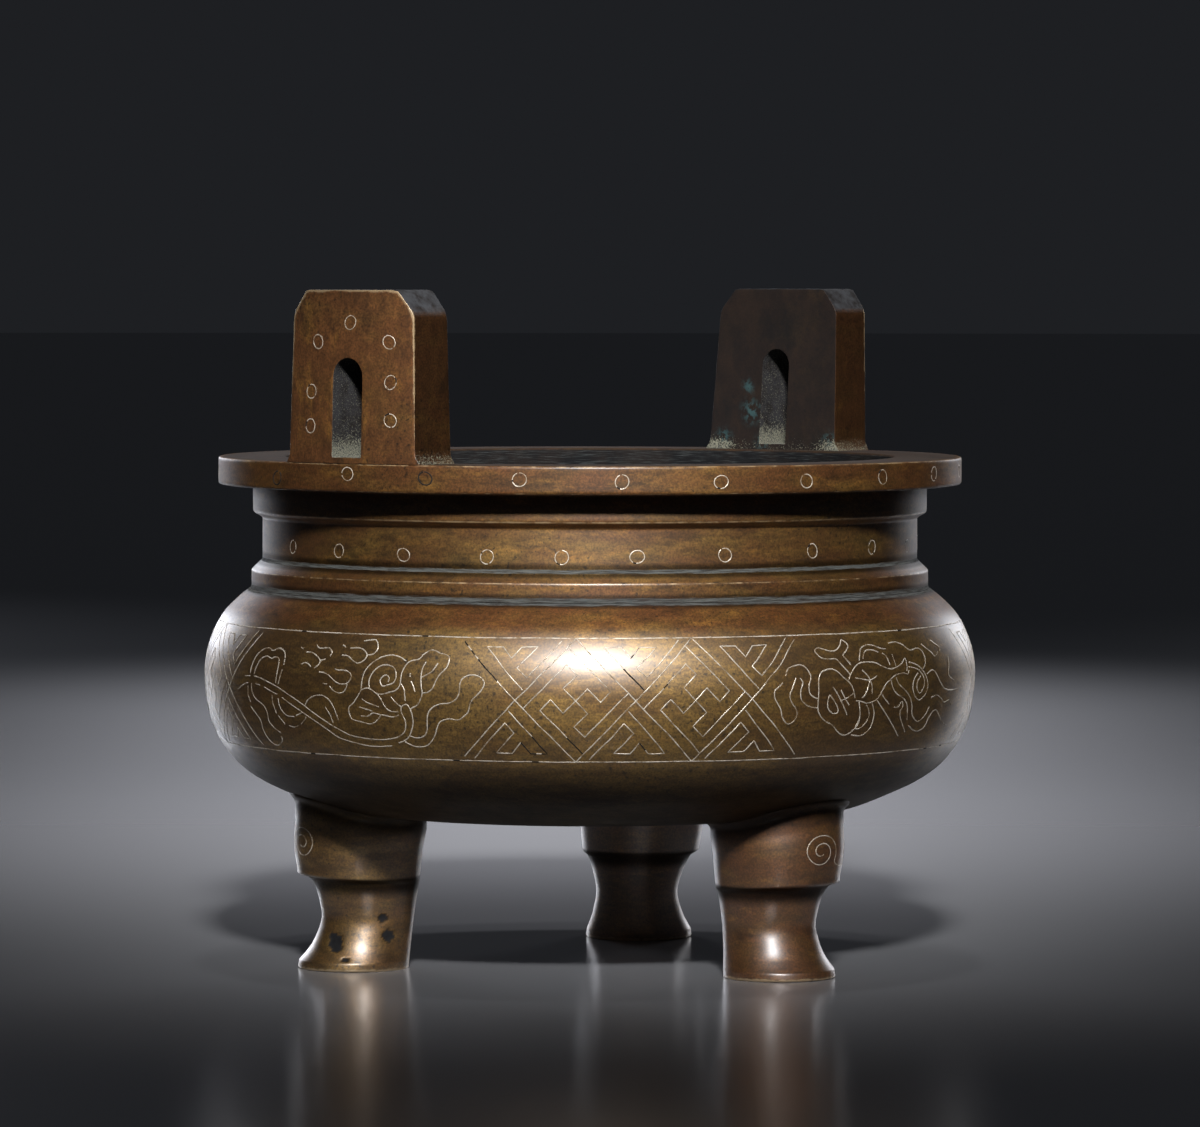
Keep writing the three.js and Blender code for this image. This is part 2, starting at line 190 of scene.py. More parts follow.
def mesh_of(name: str, bm: bmesh.types.BMesh) -> bpy.types.Mesh:
    """Turns a bmesh into a mesh, and frees it."""
    mesh = bpy.data.meshes.new(name)
    bm.to_mesh(mesh)
    bm.free()
    return mesh


def revolved(
    outline: Sequence[Vector], segments: int, shape: Callable[[Vector], Vector]
) -> bmesh.types.BMesh:
    """Turns an outline once round +Z and then moves its points.

    Args:
        outline: Points as (radius, height, 0), the first and last on the axis.
        segments: How many steps the turn has.
        shape: Where a point of the turned form goes.

    Returns:
        The closed form, with its normals facing outwards.
    """
    bm = bmesh.new()
    verts = [bm.verts.new((point.x, 0, point.y)) for point in outline]
    edges = [bm.edges.new(pair) for pair in zip(verts, verts[1:])]
    bmesh.ops.spin(
        bm,
        geom=[*verts, *edges],
        axis=(0, 0, 1),
        cent=(0, 0, 0),
        angle=math.tau,
        steps=segments,
        use_merge=True,
    )
    bmesh.ops.remove_doubles(bm, verts=bm.verts, dist=MERGE_DISTANCE)
    for vertex in bm.verts:
        vertex.co = shape(vertex.co)
    bmesh.ops.recalc_face_normals(bm, faces=bm.faces)
    return bm


def finished_object(name: str, bm: bmesh.types.BMesh, node: str) -> bpy.types.Object:
    """Makes a smooth-shaded object in metres from a bmesh in millimetres, riding on the frame.

    Args:
        name: The piece's name.
        bm: Its mesh, which is freed.
        node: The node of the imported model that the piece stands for.

    Returns:
        The new object.
    """
    bmesh.ops.scale(bm, vec=(MM, MM, MM), verts=bm.verts)
    for face in bm.faces:
        face.smooth = True
    piece = linked(name, mesh_of(name, bm))
    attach(piece, BODY)
    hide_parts(node)
    LOG.info("%s: %d vertices", name, len(piece.data.vertices))
    return piece


def near(points: Sequence[Vector], reach: float) -> Callable[[Vector], float]:
    """A function of a place that falls from 1 at the points to 0 at their reach."""
    tree = KDTree(max(len(points), 1))
    for index, point in enumerate(points):
        tree.insert(point, index)
    tree.balance()
    return lambda place: max(0.0, 1 - tree.find(place)[2] / reach) if points else 0.0


def ramp(value: float, start: float, end: float) -> float:
    """0 at start, 1 at end and beyond, with a soft turn at both; start may be the greater."""
    share = min(1.0, max(0.0, (value - start) / (end - start)))
    return share * share * (3 - 2 * share)


def uneven(place: Vector) -> float:
    """How far a hand-finished surface stands off its true shape at a place, in millimetres."""
    broad = noise.noise(place / 13.0)
    fine = noise.noise(place / 3.1 + Vector((7.0, 3.0, 5.0)))
    return 0.05 * broad + 0.01 * fine


def mark(bm: bmesh.types.BMesh, **rules: Rule) -> None:
    """Writes the marks that the bronze finish reads at each vertex: one for each name in MARKS.

    Args:
        bm: The mesh, in millimetres.
        rules: How strong a mark is at a vertex, from 0 to 1, by the mark's name; the others stay 0.
    """
    bm.normal_update()
    for name in MARKS:
        layer = bm.verts.layers.float.new(name)
        rule = rules.get(name)
        if rule:
            for vertex in bm.verts:
                vertex[layer] = rule(vertex)


# The photograph's view


@dataclass(frozen=True)
class View:
    """The photograph's camera: where it stands, and what lies behind one of its pixels."""

    azimuth: float = -51.6
    distance: float = 1136.3
    height: float = 116.05
    aside: float = 1.70
    pitch: float = 2.466
    roll: float = 0.056
    focal_pixels: float = 6733.0
    picture: Flat = (1200.0, 1127.0)
    sensor_width: float = 36.0
    farthest: float = 50.0
    first_guess: float = 48.0
    rounds: int = 16

    @property
    def position(self) -> Vector:
        """Where the camera stands, in millimetres."""
        right = polar(self.azimuth, 1.0, 0.0)
        ahead = Vector((-right.y, right.x, 0))
        return self.aside * right - self.distance * ahead + Vector((0, 0, self.height))

    @property
    def rotation(self) -> Matrix:
        """How the camera is turned."""
        tilted = turned_by(self.azimuth) @ Matrix.Rotation(math.radians(90 - self.pitch), 3, "X")
        return tilted @ turned_by(self.roll)

    def pixel_of(self, place: Vector) -> Flat:
        """The pixel that a place is seen at."""
        seen = self.rotation.transposed() @ (place - self.position)
        width, height = self.picture
        return (
            width / 2 - self.focal_pixels * seen.x / seen.z,
            height / 2 + self.focal_pixels * seen.y / seen.z,
        )

    def belly_spot(self, bowl: Bowl, x: float, y: float) -> Flat:
        """The angle round the axis and the height of the place on the belly that a pixel shows."""
        width, height = self.picture
        way = self.rotation @ Vector((x - width / 2, height / 2 - y, -self.focal_pixels)).normalized()
        start = self.position
        across = way.x**2 + way.y**2
        toward = start.x * way.x + start.y * way.y
        spot = Vector((0.0, 0.0, self.first_guess))
        for _ in range(self.rounds):
            gap = start.x**2 + start.y**2 - bowl.belly_radius_at(spot.z) ** 2
            reach = (-toward - math.sqrt(max(0.0, toward**2 - across * gap))) / across
            spot = start + way * reach
        return math.degrees(math.atan2(spot.y, spot.x)) % 360, spot.z

    def build(self) -> None:
        """Adds the camera and looks through it."""
        data = bpy.data.cameras.new("camera")
        data.sensor_width = self.sensor_width
        data.lens = self.focal_pixels / self.picture[0] * self.sensor_width
        data.clip_end = self.farthest
        camera = linked("camera", data)
        camera.location = self.position * MM
        camera.rotation_euler = self.rotation.to_euler()
        bpy.context.scene.camera = camera


# The bowl


@dataclass
class Bowl:
    """The cast and turned vessel: lip, collar, neck, step and belly."""

    belly_radius: float = 65.0
    rim_top: float = 85.3
    rim_radius: float = 62.6
    rim_thickness: float = 4.6
    mouth_radius: float = 51.0
    flange_radius: float = 56.8
    neck_radius: float = 55.2
    step_radius: float = 57.05
    base_height: float = 25.6
    wall: float = 4.0
    widest_height: float = 47.7
    step_foot: float = 63.2
    segments: int = 240

    # Which of the mouldings' corners are worn, or gather dirt and painted shade
    LIP_AND_COLLAR_EDGES: ClassVar[tuple[int, ...]] = (3, 4, 6)
    NECK_FOOT: ClassVar[int] = 9
    STEP_EDGE: ClassVar[int] = 10
    STEP_FOOT: ClassVar[int] = 12

    @classmethod
    def from_frame(cls) -> Bowl:
        """Takes the bowl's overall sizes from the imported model."""
        low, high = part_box("bowl")
        return cls(belly_radius=(high.x - low.x) / 2 / MM, rim_top=high.z / MM, base_height=low.z / MM)

    def belly_points(self) -> list[Flat]:
        """The belly's outline from the foot of the step to the flat underside."""
        return [
            (self.step_radius + 0.2, self.step_foot),
            (59.6, 61.3),
            (62.0, 58.7),
            (63.9, 54.9),
            (64.8, 51.3),
            (self.belly_radius, self.widest_height),
            (64.3, 42.7),
            (62.7, 38.3),
            (59.8, 34.2),
            (56.0, 31.3),
            (51.0, 28.9),
            (46.0, 26.9),
            (41.5, 26.0),
            (36.0, self.base_height),
        ]

    def floor_points(self) -> list[Flat]:
        """The inside from the edge of the flat floor to the foot of the neck."""
        return [
            (30.0, self.base_height + self.wall),
            (41.0, 30.2),
            (50.0, 32.9),
            (57.0, 37.2),
            (60.6, 43.4),
            (60.9, 49.6),
            (58.8, 55.4),
            (54.8, 60.0),
            (51.4, 64.0),
        ]

    def mouldings(self) -> list[Place]:
        """The corners of lip, collar, neck and step from the inside to the belly, each with its rounding."""
        top, under = self.rim_top, self.rim_top - self.rim_thickness
        return [
            (51.2, 66.0, 0),
            (51.2, 82.0, 1.0),
            (self.mouth_radius, top, 0.6),
            (self.rim_radius, top, 0.45),
            (self.rim_radius, under, 0.55),
            (self.flange_radius, under - 0.15, 0.35),
            (self.flange_radius, 76.0, 0.5),
            (self.neck_radius + 0.4, 75.35, 0.3),
            (self.neck_radius, 75.0, 0.2),
            (self.neck_radius, 68.05, 0.3),
            (self.step_radius, 66.25, 0.3),
            (self.step_radius, 63.5, 0.4),
            (self.step_radius + 0.2, self.step_foot, 0),
        ]

    def outline(self) -> list[Vector]:
        """The whole section as (radius, height, 0), from the floor's middle to the underside's."""
        inside = [(0.0, self.base_height + self.wall), *smooth_line(self.floor_points(), 6)]
        shoulder = soft_corners(self.mouldings())
        outside = [*smooth_line(self.belly_points(), 8)[1:], (0.0, self.base_height)]
        coarse, medium, fine = 1.3, 0.85, 0.34
        parts = ((inside, coarse), ([inside[-1], *shoulder], fine), ([shoulder[-1], *outside], medium))
        line: list[Vector] = []
        for points, spacing in parts:
            line += even_line([(*p, 0) for p in points], spacing)[1 if line else 0 :]
        return line

    def belly_radius_at(self, height: float) -> float:
        """The belly's outer radius at a height between its foot and the step."""
        line = self._belly_line
        for (r0, z0), (r1, z1) in zip(line, line[1:]):
            if z1 <= height <= z0:
                return r0 + (r1 - r0) * (z0 - height) / (z0 - z1)
        return line[0][0] if height > line[0][1] else line[-1][0]

    def underside_at(self, radius: float) -> float:
        """The height of the bowl's underside at a distance from the axis."""
        line = [(r, z) for r, z in self._belly_line if z < self.widest_height]
        for (r0, z0), (r1, z1) in zip(line, line[1:]):
            if r1 <= radius <= r0:
                return z0 + (z1 - z0) * (r0 - radius) / (r0 - r1)
        return self.base_height if radius < line[-1][0] else line[0][1]

    def __post_init__(self) -> None:
        """Draws the belly's line once, for all that is laid on it."""
        self._belly_line = smooth_line(self.belly_points(), 12)

    def belly_place(self, angle: float, height: float, lift: float) -> Vector:
        """A point on the belly, raised from its surface by lift."""
        radius, step = self.belly_radius_at(height), 0.2
        slope = (self.belly_radius_at(height - step) - self.belly_radius_at(height + step)) / (2 * step)
        away = Vector((1.0, slope)).normalized() * lift
        return self._worked(polar(angle, radius + away.x, height + away.y))

    def wall_place(self, angle: float, radius: float, height: float) -> Vector:
        """A point on an upright wall of lip or neck."""
        return self._worked(polar(angle, radius, height))

    def _worked(self, place: Vector) -> Vector:
        """Moves a place of the true shape in or out as the turned and hand-finished surface does."""
        out = Vector((place.x, place.y, 0))
        return place + out.normalized() * uneven(place) if out.length > 1 else place

    def build(self) -> bpy.types.Object:
        """Turns the outline into the vessel, and marks its worn edges, dusty hollows, sooty inside, tint and
        painted shade.
        """
        bm = revolved(self.outline(), self.segments, self._worked)
        worn_edge = self._near_corners(self.LIP_AND_COLLAR_EDGES, reach=0.34)
        worn_step = self._near_corners([self.STEP_EDGE], reach=0.3)
        # Painted shade around the feet of the neck and the step
        hollow_shade = self._near_corners([self.NECK_FOOT, self.STEP_FOOT], reach=2.3)
        foot_of_step = self._near_corners([self.STEP_FOOT], reach=1.35)
        foot_of_neck = self._near_corners([self.NECK_FOOT], reach=0.7)
        mark(
            bm,
            wear=lambda v: max(worn_edge(v), 0.6 * worn_step(v)),
            dust=lambda v: max(foot_of_step(v), foot_of_neck(v), 0.37 * self._soot(v)),
            soot=self._soot,
            shade=lambda v: max(self._shade(v), 0.8 * ramp(hollow_shade(v), 0.0, 0.7)),
            tint=self._tint,
        )
        return finished_object("bowl_shell", bm, "bowl")

    def _near_corners(self, numbers: Sequence[int], reach: float) -> Rule:
        """How near a vertex is to corners of the mouldings, given by their numbers."""
        corners = self.mouldings()
        close = near([Vector((*corners[number][:2], 0)) for number in numbers], reach)
        return lambda v: close(Vector((math.hypot(v.co.x, v.co.y), v.co.z, 0)))

    def _soot(self, vertex: bmesh.types.BMVert) -> float:
        """1 well inside the mouth, less on the top of the lip, 0 outside."""
        radius, height = math.hypot(vertex.co.x, vertex.co.y), vertex.co.z
        if height > self.rim_top - 0.35:
            return 0.85 * ramp(radius, self.rim_radius - 0.2, self.rim_radius - 1.0)
        if height > self.step_foot:
            return 1.0 if radius < self.mouth_radius + 0.6 else 0.0
        return 1.0 if radius < self.belly_radius_at(height) - 2 and height > self.base_height + 2 else 0.0

    def _shade(self, vertex: bmesh.types.BMVert) -> float:
        """Painted shade: darkest on the underside and under the lip, where shadow falls; lighter, even
        darkening from the shoulder up.
        """
        height = vertex.co.z
        under_lip = 0.45 * ramp(height, 75.8, 77.2) * ramp(height, 81.2, 80.9)
        shoulder = 0.31 * ramp(height, 56.5, 59.5)
        underside = 0.55 * ramp(height, 38.4, 36.0) + 0.45 * ramp(height, 37.0, 31.0)
        return max(under_lip, shoulder, underside)

    def _tint(self, vertex: bmesh.types.BMVert) -> float:
        """How red the skin is: most on lip and shoulder, least on the belly."""
        height = vertex.co.z
        shoulder = 0.42 * ramp(height, 56.5, 60.5) * ramp(height, 64.5, 62.5)
        step = 0.3 * ramp(height, 62.8, 63.4) * ramp(height, 68.5, 66.5)
        neck = 0.24 * ramp(height, 68.0, 69.0)
        lip = 0.36 * ramp(height, 75, 80)
        return max(shoulder, step, neck, lip)


# The handles


@dataclass
class Handle:
    """An upright slab on the lip, with the lip's own curve outside, an arched slot and cut top corners."""

    name: str
    node: str
    turn: float
    lean: float
    half_width: float = 13.4
    top_half_width: float = 12.7
    slot_half_width: float = 3.1
    slot_top: float = 102.4
    rim_radius: float = 62.6
    foot: float = 85.3
    top: float = 113.4
    foot_thickness: float = 10.4
    top_thickness: float = 9.5
    chamfer: Flat = (3.1, 3.8)
    slot_bottom: float = 86.3
    edge_rounding: float = 0.22
    slot_margin: float = 0.4
    around: int = 132
    rings: int = 14
    layers: int = 12

    # Patches of verdigris on the inner face, as (across, height, reach)
    PATCHES: ClassVar[tuple[Place, ...]] = (
        (5.4, 92.0, 3.4),
        (6.3, 96.3, 1.8),
        (11.5, 87.2, 2.6),
        (-11.5, 87.0, 2.2),
        (3.0, 86.6, 2.4),
    )

    def _outline(self) -> list[Flat]:
        """The face's outer edge as (across, height), from the foot's middle anticlockwise round to it."""
        flare, across, down = 0.9, *self.chamfer
        right = [
            (0.0, self.foot, 0),
            (self.half_width + flare, self.foot, 0),
            (self.half_width, self.foot + 0.9, 0.8),
            (self.top_half_width, self.top - down, 0.9),
            (self.top_half_width - across, self.top, 0.5),
        ]
        left = [(-x, y, reach) for x, y, reach in reversed(right)]
        return soft_corners([*right, *left], steps=4)

    def _slot(self) -> list[Flat]:
        """The slot's edge, from its bottom's middle anticlockwise round to it."""
        half, bottom = self.slot_half_width, self.slot_bottom
        arch = [(x, self.slot_top - half + z) for x, z in half_turn(half)]
        return [(0.0, bottom), (half, bottom), *arch, (-half, bottom), (0.0, bottom)]

    def _spaced(self, outline: list[Flat]) -> list[Flat]:
        """An outline's points in the directions, as seen from the slot, that the face is divided by."""
        middle = Vector((0.0, (self.slot_bottom + self.slot_top) / 2))
        line = [Vector(point) for point in outline]
        turns = [math.atan2((p - middle).x, -(p - middle).y) % math.tau for p in line]
        turns[-1] = math.tau
        points: list[Flat] = []
        for index in range(self.around):
            turn = math.tau * index / self.around
            for (a, p), (b, q) in zip(zip(turns, line), zip(turns[1:], line[1:])):
                if a <= turn <= b and b > a:
                    spot = p.lerp(q, (turn - a) / (b - a))
                    points.append((spot.x, spot.y))
                    break
        return points

    def outer_x(self, across: float) -> float:
        """How far out the curved outer face is at a distance across."""
        return math.sqrt(self.rim_radius**2 - across**2)

    def inner_x(self, height: float) -> float:
        """How far out the flat inner face is at a height."""
        share = (height - self.foot) / (self.top - self.foot)
        thickness = self.foot_thickness + (self.top_thickness - self.foot_thickness) * share
        return self.rim_radius - thickness

    def face_place(self, across: float, height: float, lift: float) -> Vector:
        """A point on the outer face, raised from it by lift."""
        spot = Vector((self.outer_x(across), across, height))
        spot.x += uneven(spot) + lift
        return turned_by(self.turn) @ spot

    def _leaning(self, across: float, height: float) -> float:
        """How far across a point of the upright pattern is once the handle leans along the lip."""
        return across + self.lean * (height - self.top) / (self.top - self.foot)

    def build(self) -> bpy.types.Object:
        """Bridges slot and outline into a face, gives it its thickness and rounds the worn edges."""
        bm = bmesh.new()
        loops = []
        for outline in (self._slot(), self._outline()):
            verts = [bm.verts.new((0, x, z)) for x, z in self._spaced(outline)]
            loops.append([bm.edges.new((a, b)) for a, b in zip(verts, [*verts[1:], verts[0]])])
        rims = [*loops[0], *loops[1]]
        bmesh.ops.bridge_loops(bm, edges=rims)
        spokes = [edge for edge in bm.edges if edge not in rims]
        bmesh.ops.subdivide_edges(bm, edges=spokes, cuts=self.rings, use_grid_fill=True)
        pushed = bmesh.ops.extrude_face_region(bm, geom=list(bm.faces), use_keep_orig=True)["geom"]
        back = {item for item in pushed if isinstance(item, bmesh.types.BMVert)}
        for vertex in bm.verts:
            vertex.co.y = self._leaning(vertex.co.y, vertex.co.z)
            inside = vertex in back
            vertex.co.x = self.inner_x(vertex.co.z) if inside else self.outer_x(vertex.co.y)
            vertex.co.x += -uneven(vertex.co) if inside else uneven(vertex.co)
        bmesh.ops.recalc_face_normals(bm, faces=bm.faces)
        through = [edge for edge in bm.edges if len({vertex in back for vertex in edge.verts}) == 2]
        bmesh.ops.subdivide_edges(bm, edges=through, cuts=self.layers, use_grid_fill=True)
        sharp = [edge for edge in bm.edges if len(edge.link_faces) == 2 and edge.calc_face_angle() > 0.5]
        edge_spots = [vertex.co.copy() for edge in sharp for vertex in edge.verts]
        bmesh.ops.bevel(
            bm,
            geom=sharp,
            offset=self.edge_rounding,
            offset_type="OFFSET",
            segments=3,
            profile=0.5,
            affect="EDGES",
            material=-1,
            clamp_overlap=True,
        )
        touched = [co for co in edge_spots if co.z > self.foot + 1.2 and co.x > self.rim_radius - 6]
        worn = near(touched, self.edge_rounding)
        mark(
            bm,
            wear=lambda v: worn(v.co) * self._rubbed(v.co),
            dust=self._dust,
            soot=self._soot,
            slate=self._slate,
            # Painted shade: the side faces are darkened
            shade=lambda v: 0.66 * ramp(abs(v.normal.y), 0.6, 0.9),
            tint=lambda v: 0.46,
            green=self._green,
        )
        bmesh.ops.rotate(bm, verts=bm.verts, cent=(0, 0, 0), matrix=turned_by(self.turn))
        return finished_object(self.name, bm, self.node)

    def _in_slot(self, co: Vector) -> bool:
        """Whether a point is on the wall of the slot or its edge."""
        margin = self.slot_margin
        off_middle = abs(co.y - self._leaning(0.0, co.z))
        beside = off_middle < self.slot_half_width + margin
        return beside and self.slot_bottom - margin < co.z < self.slot_top + margin

    def _on_slot_wall(self, vertex: bmesh.types.BMVert) -> bool:
        """Whether a vertex is on the wall of the slot."""
        return self._in_slot(vertex.co) and abs(vertex.normal.x) < 0.6

    def _rubbed(self, co: Vector) -> float:
        """How much of an edge's wear shows: little at the slot, most at the top."""
        return 0.35 if self._in_slot(co) else ramp(co.z, self.foot - 14, self.top)

    def _soot(self, vertex: bmesh.types.BMVert) -> float:
        """Strong on the inner face and in the slot, none on the outer face."""
        return 0.9 if self._on_slot_wall(vertex) else 0.96 * ramp(-vertex.normal.x, 0.55, 0.85)

    def _slate(self, vertex: bmesh.types.BMVert) -> float:
        """The grey skin on the top, the cut corners and the walls of the slot."""
        if self._on_slot_wall(vertex):
            return 0.6
        return ramp(vertex.normal.z, 0.3, 0.5) if vertex.co.z > self.slot_top else 0.0

    def _green(self, vertex: bmesh.types.BMVert) -> float:
        """Verdigris in patches beside the slot and low on the inner face."""
        if vertex.normal.x > -0.6:
            return 0.0
        co = vertex.co
        return max(ramp(math.hypot(co.y - y, co.z - z), reach, 0.0) for y, z, reach in self.PATCHES)

    def _dust(self, vertex: bmesh.types.BMVert) -> float:
        """Thick at the bottom of the slot, thin up its walls, and low on the inner face and sides."""
        co, normal = vertex.co, vertex.normal
        if self._on_slot_wall(vertex):
            return 0.25 + 0.55 * ramp(co.z, self.slot_bottom + 4.5, self.slot_bottom)
        low = ramp(co.z, self.foot + 3.4, self.foot + 0.2)
        if normal.x > 0.6:
            return 0.0
        corner = 0.3 + 0.7 * ramp(abs(co.y), 7.0, 13.0)
        return low * (0.75 * corner if normal.x < -0.6 else 0.48)


# The legs


@dataclass
class Leg:
    """A round leg whose sections all touch one straight inner line: band, knee, waist and toe."""

    name: str
    node: str
    turn: float
    bowl: Bowl
    foot_inside: float
    lean: float
    sway: float
    waist: float
    tint: float
    scroll: Flat = (0.0, 33.0)
    pits: tuple[tuple[float, float, float, float], ...] = ()
    waist_height: float = 8.3
    knee_height: float = 16.0
    reach: float = 5.0
    knee_tilt: float = 1.2
    top_radius: float = 11.0
    band_middle: float = 21.6
    pattern_top: float = 32.0
    fitted_from: float = 20.0
    pit_depth: float = 0.15
    segments: int = 128

    SOLE: ClassVar[tuple[Place, ...]] = ((0.0, 0.0, 0), (9.25, 0.0, 0.4), (9.2, 1.4, 0))
    CALF: ClassVar[tuple[Flat, ...]] = (
        (9.2, 1.4), (8.75, 2.5), (8.3, 3.9), (7.95, 5.8), (7.7, 8.3), (8.0, 10.8), (8.45, 13.2), (8.9, 14.6),
    )
    LEDGE: ClassVar[tuple[Place, ...]] = (
        (8.9, 14.6, 0), (9.2, 15.25, 0.3), (10.22, 15.9, 0.28), (10.35, 17.2, 0),
    )
    BAND: ClassVar[tuple[Flat, ...]] = ((10.35, 17.2), (10.6, 19.0), (10.8, 21.0), (10.95, 24.0))

    def _section(self) -> list[Flat]:
        """The leg's (radius, height) outline, from the sole's middle to its end inside the bowl's wall."""
        calf = smooth_line(self.CALF, 6)
        band = smooth_line([*self.BAND, (self.top_radius, 28.0)], 3)
        end = [(self.top_radius, self.pattern_top), (0.0, self.pattern_top)]
        return [*soft_corners(self.SOLE), *calf[1:], *soft_corners(self.LEDGE)[1:], *band[1:], *end]

    def __post_init__(self) -> None:
        """Draws the outline once, for the skin and for all that is laid on it."""
        self._line = self._section()

    def _radius_at(self, height: float) -> float:
        """The pattern's radius at a height."""
        for (r0, z0), (r1, z1) in zip(self._line, self._line[1:]):
            if z0 <= height <= z1 and z1 > z0:
                return r0 + (r1 - r0) * (height - z0) / (z1 - z0)
        return self.top_radius

    def _near(self, height: float, middle: float) -> float:
        """A share that is 1 at the middle and fades above and below it."""
        return math.exp(-(((height - middle) / self.reach) ** 2))

    def _shaped(self, co: Vector) -> Vector:
        """Moves a point of the upright round column to its place on the leg, which stands on +X."""
        out = math.hypot(co.x, co.y)
        side = Vector((co.x / out, co.y / out, 0)) if out > 1e-6 else Vector()
        height = min(co.z, self.bowl.base_height)
        thinner = self.waist * self._near(co.z, self.waist_height)
        radius = self._radius_at(height) - thinner
        spot = Vector((self.foot_inside - self.lean * height + radius, self.sway * height, co.z))
        spot += side * max(0.0, out - (thinner if out > 1 else 0.0))
        base = self.fitted_from
        if co.z <= base:
            tilt = self.knee_tilt * self._near(co.z, self.knee_height)
            spot.z = max(0.0, co.z - tilt * (1 - side.x) / 2) if co.z > 0 else co.z
            return spot + side * uneven(spot)
        under = self.bowl.underside_at(math.hypot(spot.x, spot.y))
        spot.z = base + (co.z - base) / (self.pattern_top - base) * (under + 0.9 - base)
        flare = 0.9 * max(0.0, 1 - max(0.0, under - spot.z) / 1.4) ** 2
        return spot + side * (flare + uneven(spot))

    def skin_place(self, angle: float, height: float, lift: float) -> Vector:
        """A point on the leg's skin at an angle round it, where 0 faces outwards, raised by lift."""
        return turned_by(self.turn) @ self._shaped(polar(angle, self._radius_at(height) + lift, height))

    def scroll_line(self) -> Line:
        """Two mirrored spirals joined by a loop, on the band.

        The scroll's two angles give where its loop hangs and how far from it each spiral is centred.
        """
        loop_angle, aside = self.scroll
        side = math.copysign(1.0, aside)
        inner, outer, turns, wide, tall, sag = 0.55, 3.4, 1.95, 1.14, 1.06, 1.1
        middle, steps = self.band_middle, 60
        spiral: list[Flat] = []
        for step in range(steps + 1):
            share = step / steps
            turn = math.tau * turns * share - 0.5
            out = outer + (inner - outer) * share
            spiral.append((wide * out * math.cos(turn), middle + tall * out * math.sin(turn)))
        start_x, start_z = spiral[0]
        gap = abs(math.radians(aside)) * self._radius_at(middle) - start_x
        loop = [(-gap * x, start_z - sag * z) for x, z in half_turn(1.0)[1:-1]]
        half = [(x - gap - start_x, z) for x, z in reversed(spiral)]
        joined = [*half, *loop, *((-x, z) for x, z in reversed(half))]
        turned = math.degrees(1 / self._radius_at(middle))
        return [self.skin_place(loop_angle + side * turned * x, z, -WireSet.sink) for x, z in joined]

    def _pit(self, place: Vector, view: View) -> float:
        """How deep in one of the casting pits a place is, from 0 to 1."""
        x, y = view.pixel_of(place)
        if view.rotation.col[2].dot(Vector((place.x, place.y, 0)) - self.axis) < 0:
            return 0.0
        depth = 0.0
        for middle_x, middle_y, half_width, half_height in self.pits:
            off = math.hypot((x - middle_x) / half_width, (y - middle_y) / half_height)
            depth = max(depth, ramp(off + 0.35 * noise.noise(place / 0.9), 1.15, 0.7))
        return depth

    @property
    def axis(self) -> Vector:
        """The middle of the leg's foot."""
        return turned_by(self.turn) @ Vector((self.foot_inside + 8.0, 0, 0))

    def build(self, view: View) -> bpy.types.Object:
        """Turns the column, shapes it, sinks its pits and marks where it is worn, where dirt sits and where
        painted shade lies.
        """
        line = even_line([(*point, 0) for point in self._line], spacing=0.5)
        bm = revolved(line, self.segments, self._shaped)
        around = range(0, 360, 4)
        sole_radius, ledge_radius, ledge_height = self.SOLE[1][0], *self.LEDGE[2][:2]
        sole = near([self._shaped(polar(angle, sole_radius, 0.1)) for angle in around], reach=0.75)
        knee = near([self._shaped(polar(angle, ledge_radius, ledge_height)) for angle in around], reach=0.6)
        home = turned_by(self.turn)
        bm.verts.index_update()
        sunk = [self._pit(home @ vertex.co, view) if self.pits else 0.0 for vertex in bm.verts]
        bm.normal_update()
        for vertex, depth in zip(bm.verts, sunk):
            vertex.co -= self.pit_depth * depth * vertex.normal
        mark(
            bm,
            soot=lambda v: min(1.0, 2.5 * sunk[v.index]),
            slate=lambda v: 0.25 * min(1.0, 2.0 * sunk[v.index]),
            wear=lambda v: max(sole(v.co), 0.3 * knee(v.co)),
            shade=self._shade,
            tint=lambda v: self.tint,
        )
        bmesh.ops.rotate(bm, verts=bm.verts, cent=(0, 0, 0), matrix=home)
        return finished_object(self.name, bm, self.node)

    def _shade(self, vertex: bmesh.types.BMVert) -> float:
        """Painted shade: close under the belly, where its shadow falls, and under the knee's ledge."""
        co = vertex.co
        below_belly = self.bowl.underside_at(math.hypot(co.x, co.y)) - co.z
        under_ledge = ramp(co.z, 11.2, 14.2) * ramp(co.z, 15.9, 15.2)
        return max(0.9 * ramp(below_belly, 5.5, 0.8), 0.9 * under_ledge)


# Silver wire


class Filling(Enum):
    """What a stretch of an engraved groove holds."""

    SILVER = "silver"
    EMPTY = "empty"


Strand = tuple[Filling, Line]
Finishes = dict[Filling, bpy.types.Material]


@dataclass(frozen=True)
class Stroke:
    """One engraved line, as points across and up its panel.

    It may be curved, and lost holds the shares of its length, each from and to, that have no wire.
    """

    points: tuple[Flat, ...]
    lost: tuple[Flat, ...] = ()
    curved: bool = False

    def stretches(self, spacing: float) -> Iterable[tuple[Filling, list[Flat]]]:
        """Splits the line into filled and empty stretches.

        Args:
            spacing: The longest step between two points, in the panel's own units.

        Yields:
            What a stretch holds, and its points.
        """
        line = even_line(smooth_line(self.points, 8) if self.curved else self.points, spacing)
        lengths = [0.0]
        for start, end in zip(line, line[1:]):
            lengths.append(lengths[-1] + (end - start).length)
        run: list[Flat] = []
        holds: Filling | None = None
        for point, length in zip(line, lengths):
            share = length / lengths[-1]
            gone = any(low <= share <= high for low, high in self.lost)
            here = Filling.EMPTY if gone else Filling.SILVER
            if holds is not None and here is not holds:
                run.append((point.x, point.y))
                yield holds, run
                run = []
            run.append((point.x, point.y))
            holds = here
        if len(run) > 1 and holds is not None:
            yield holds, run


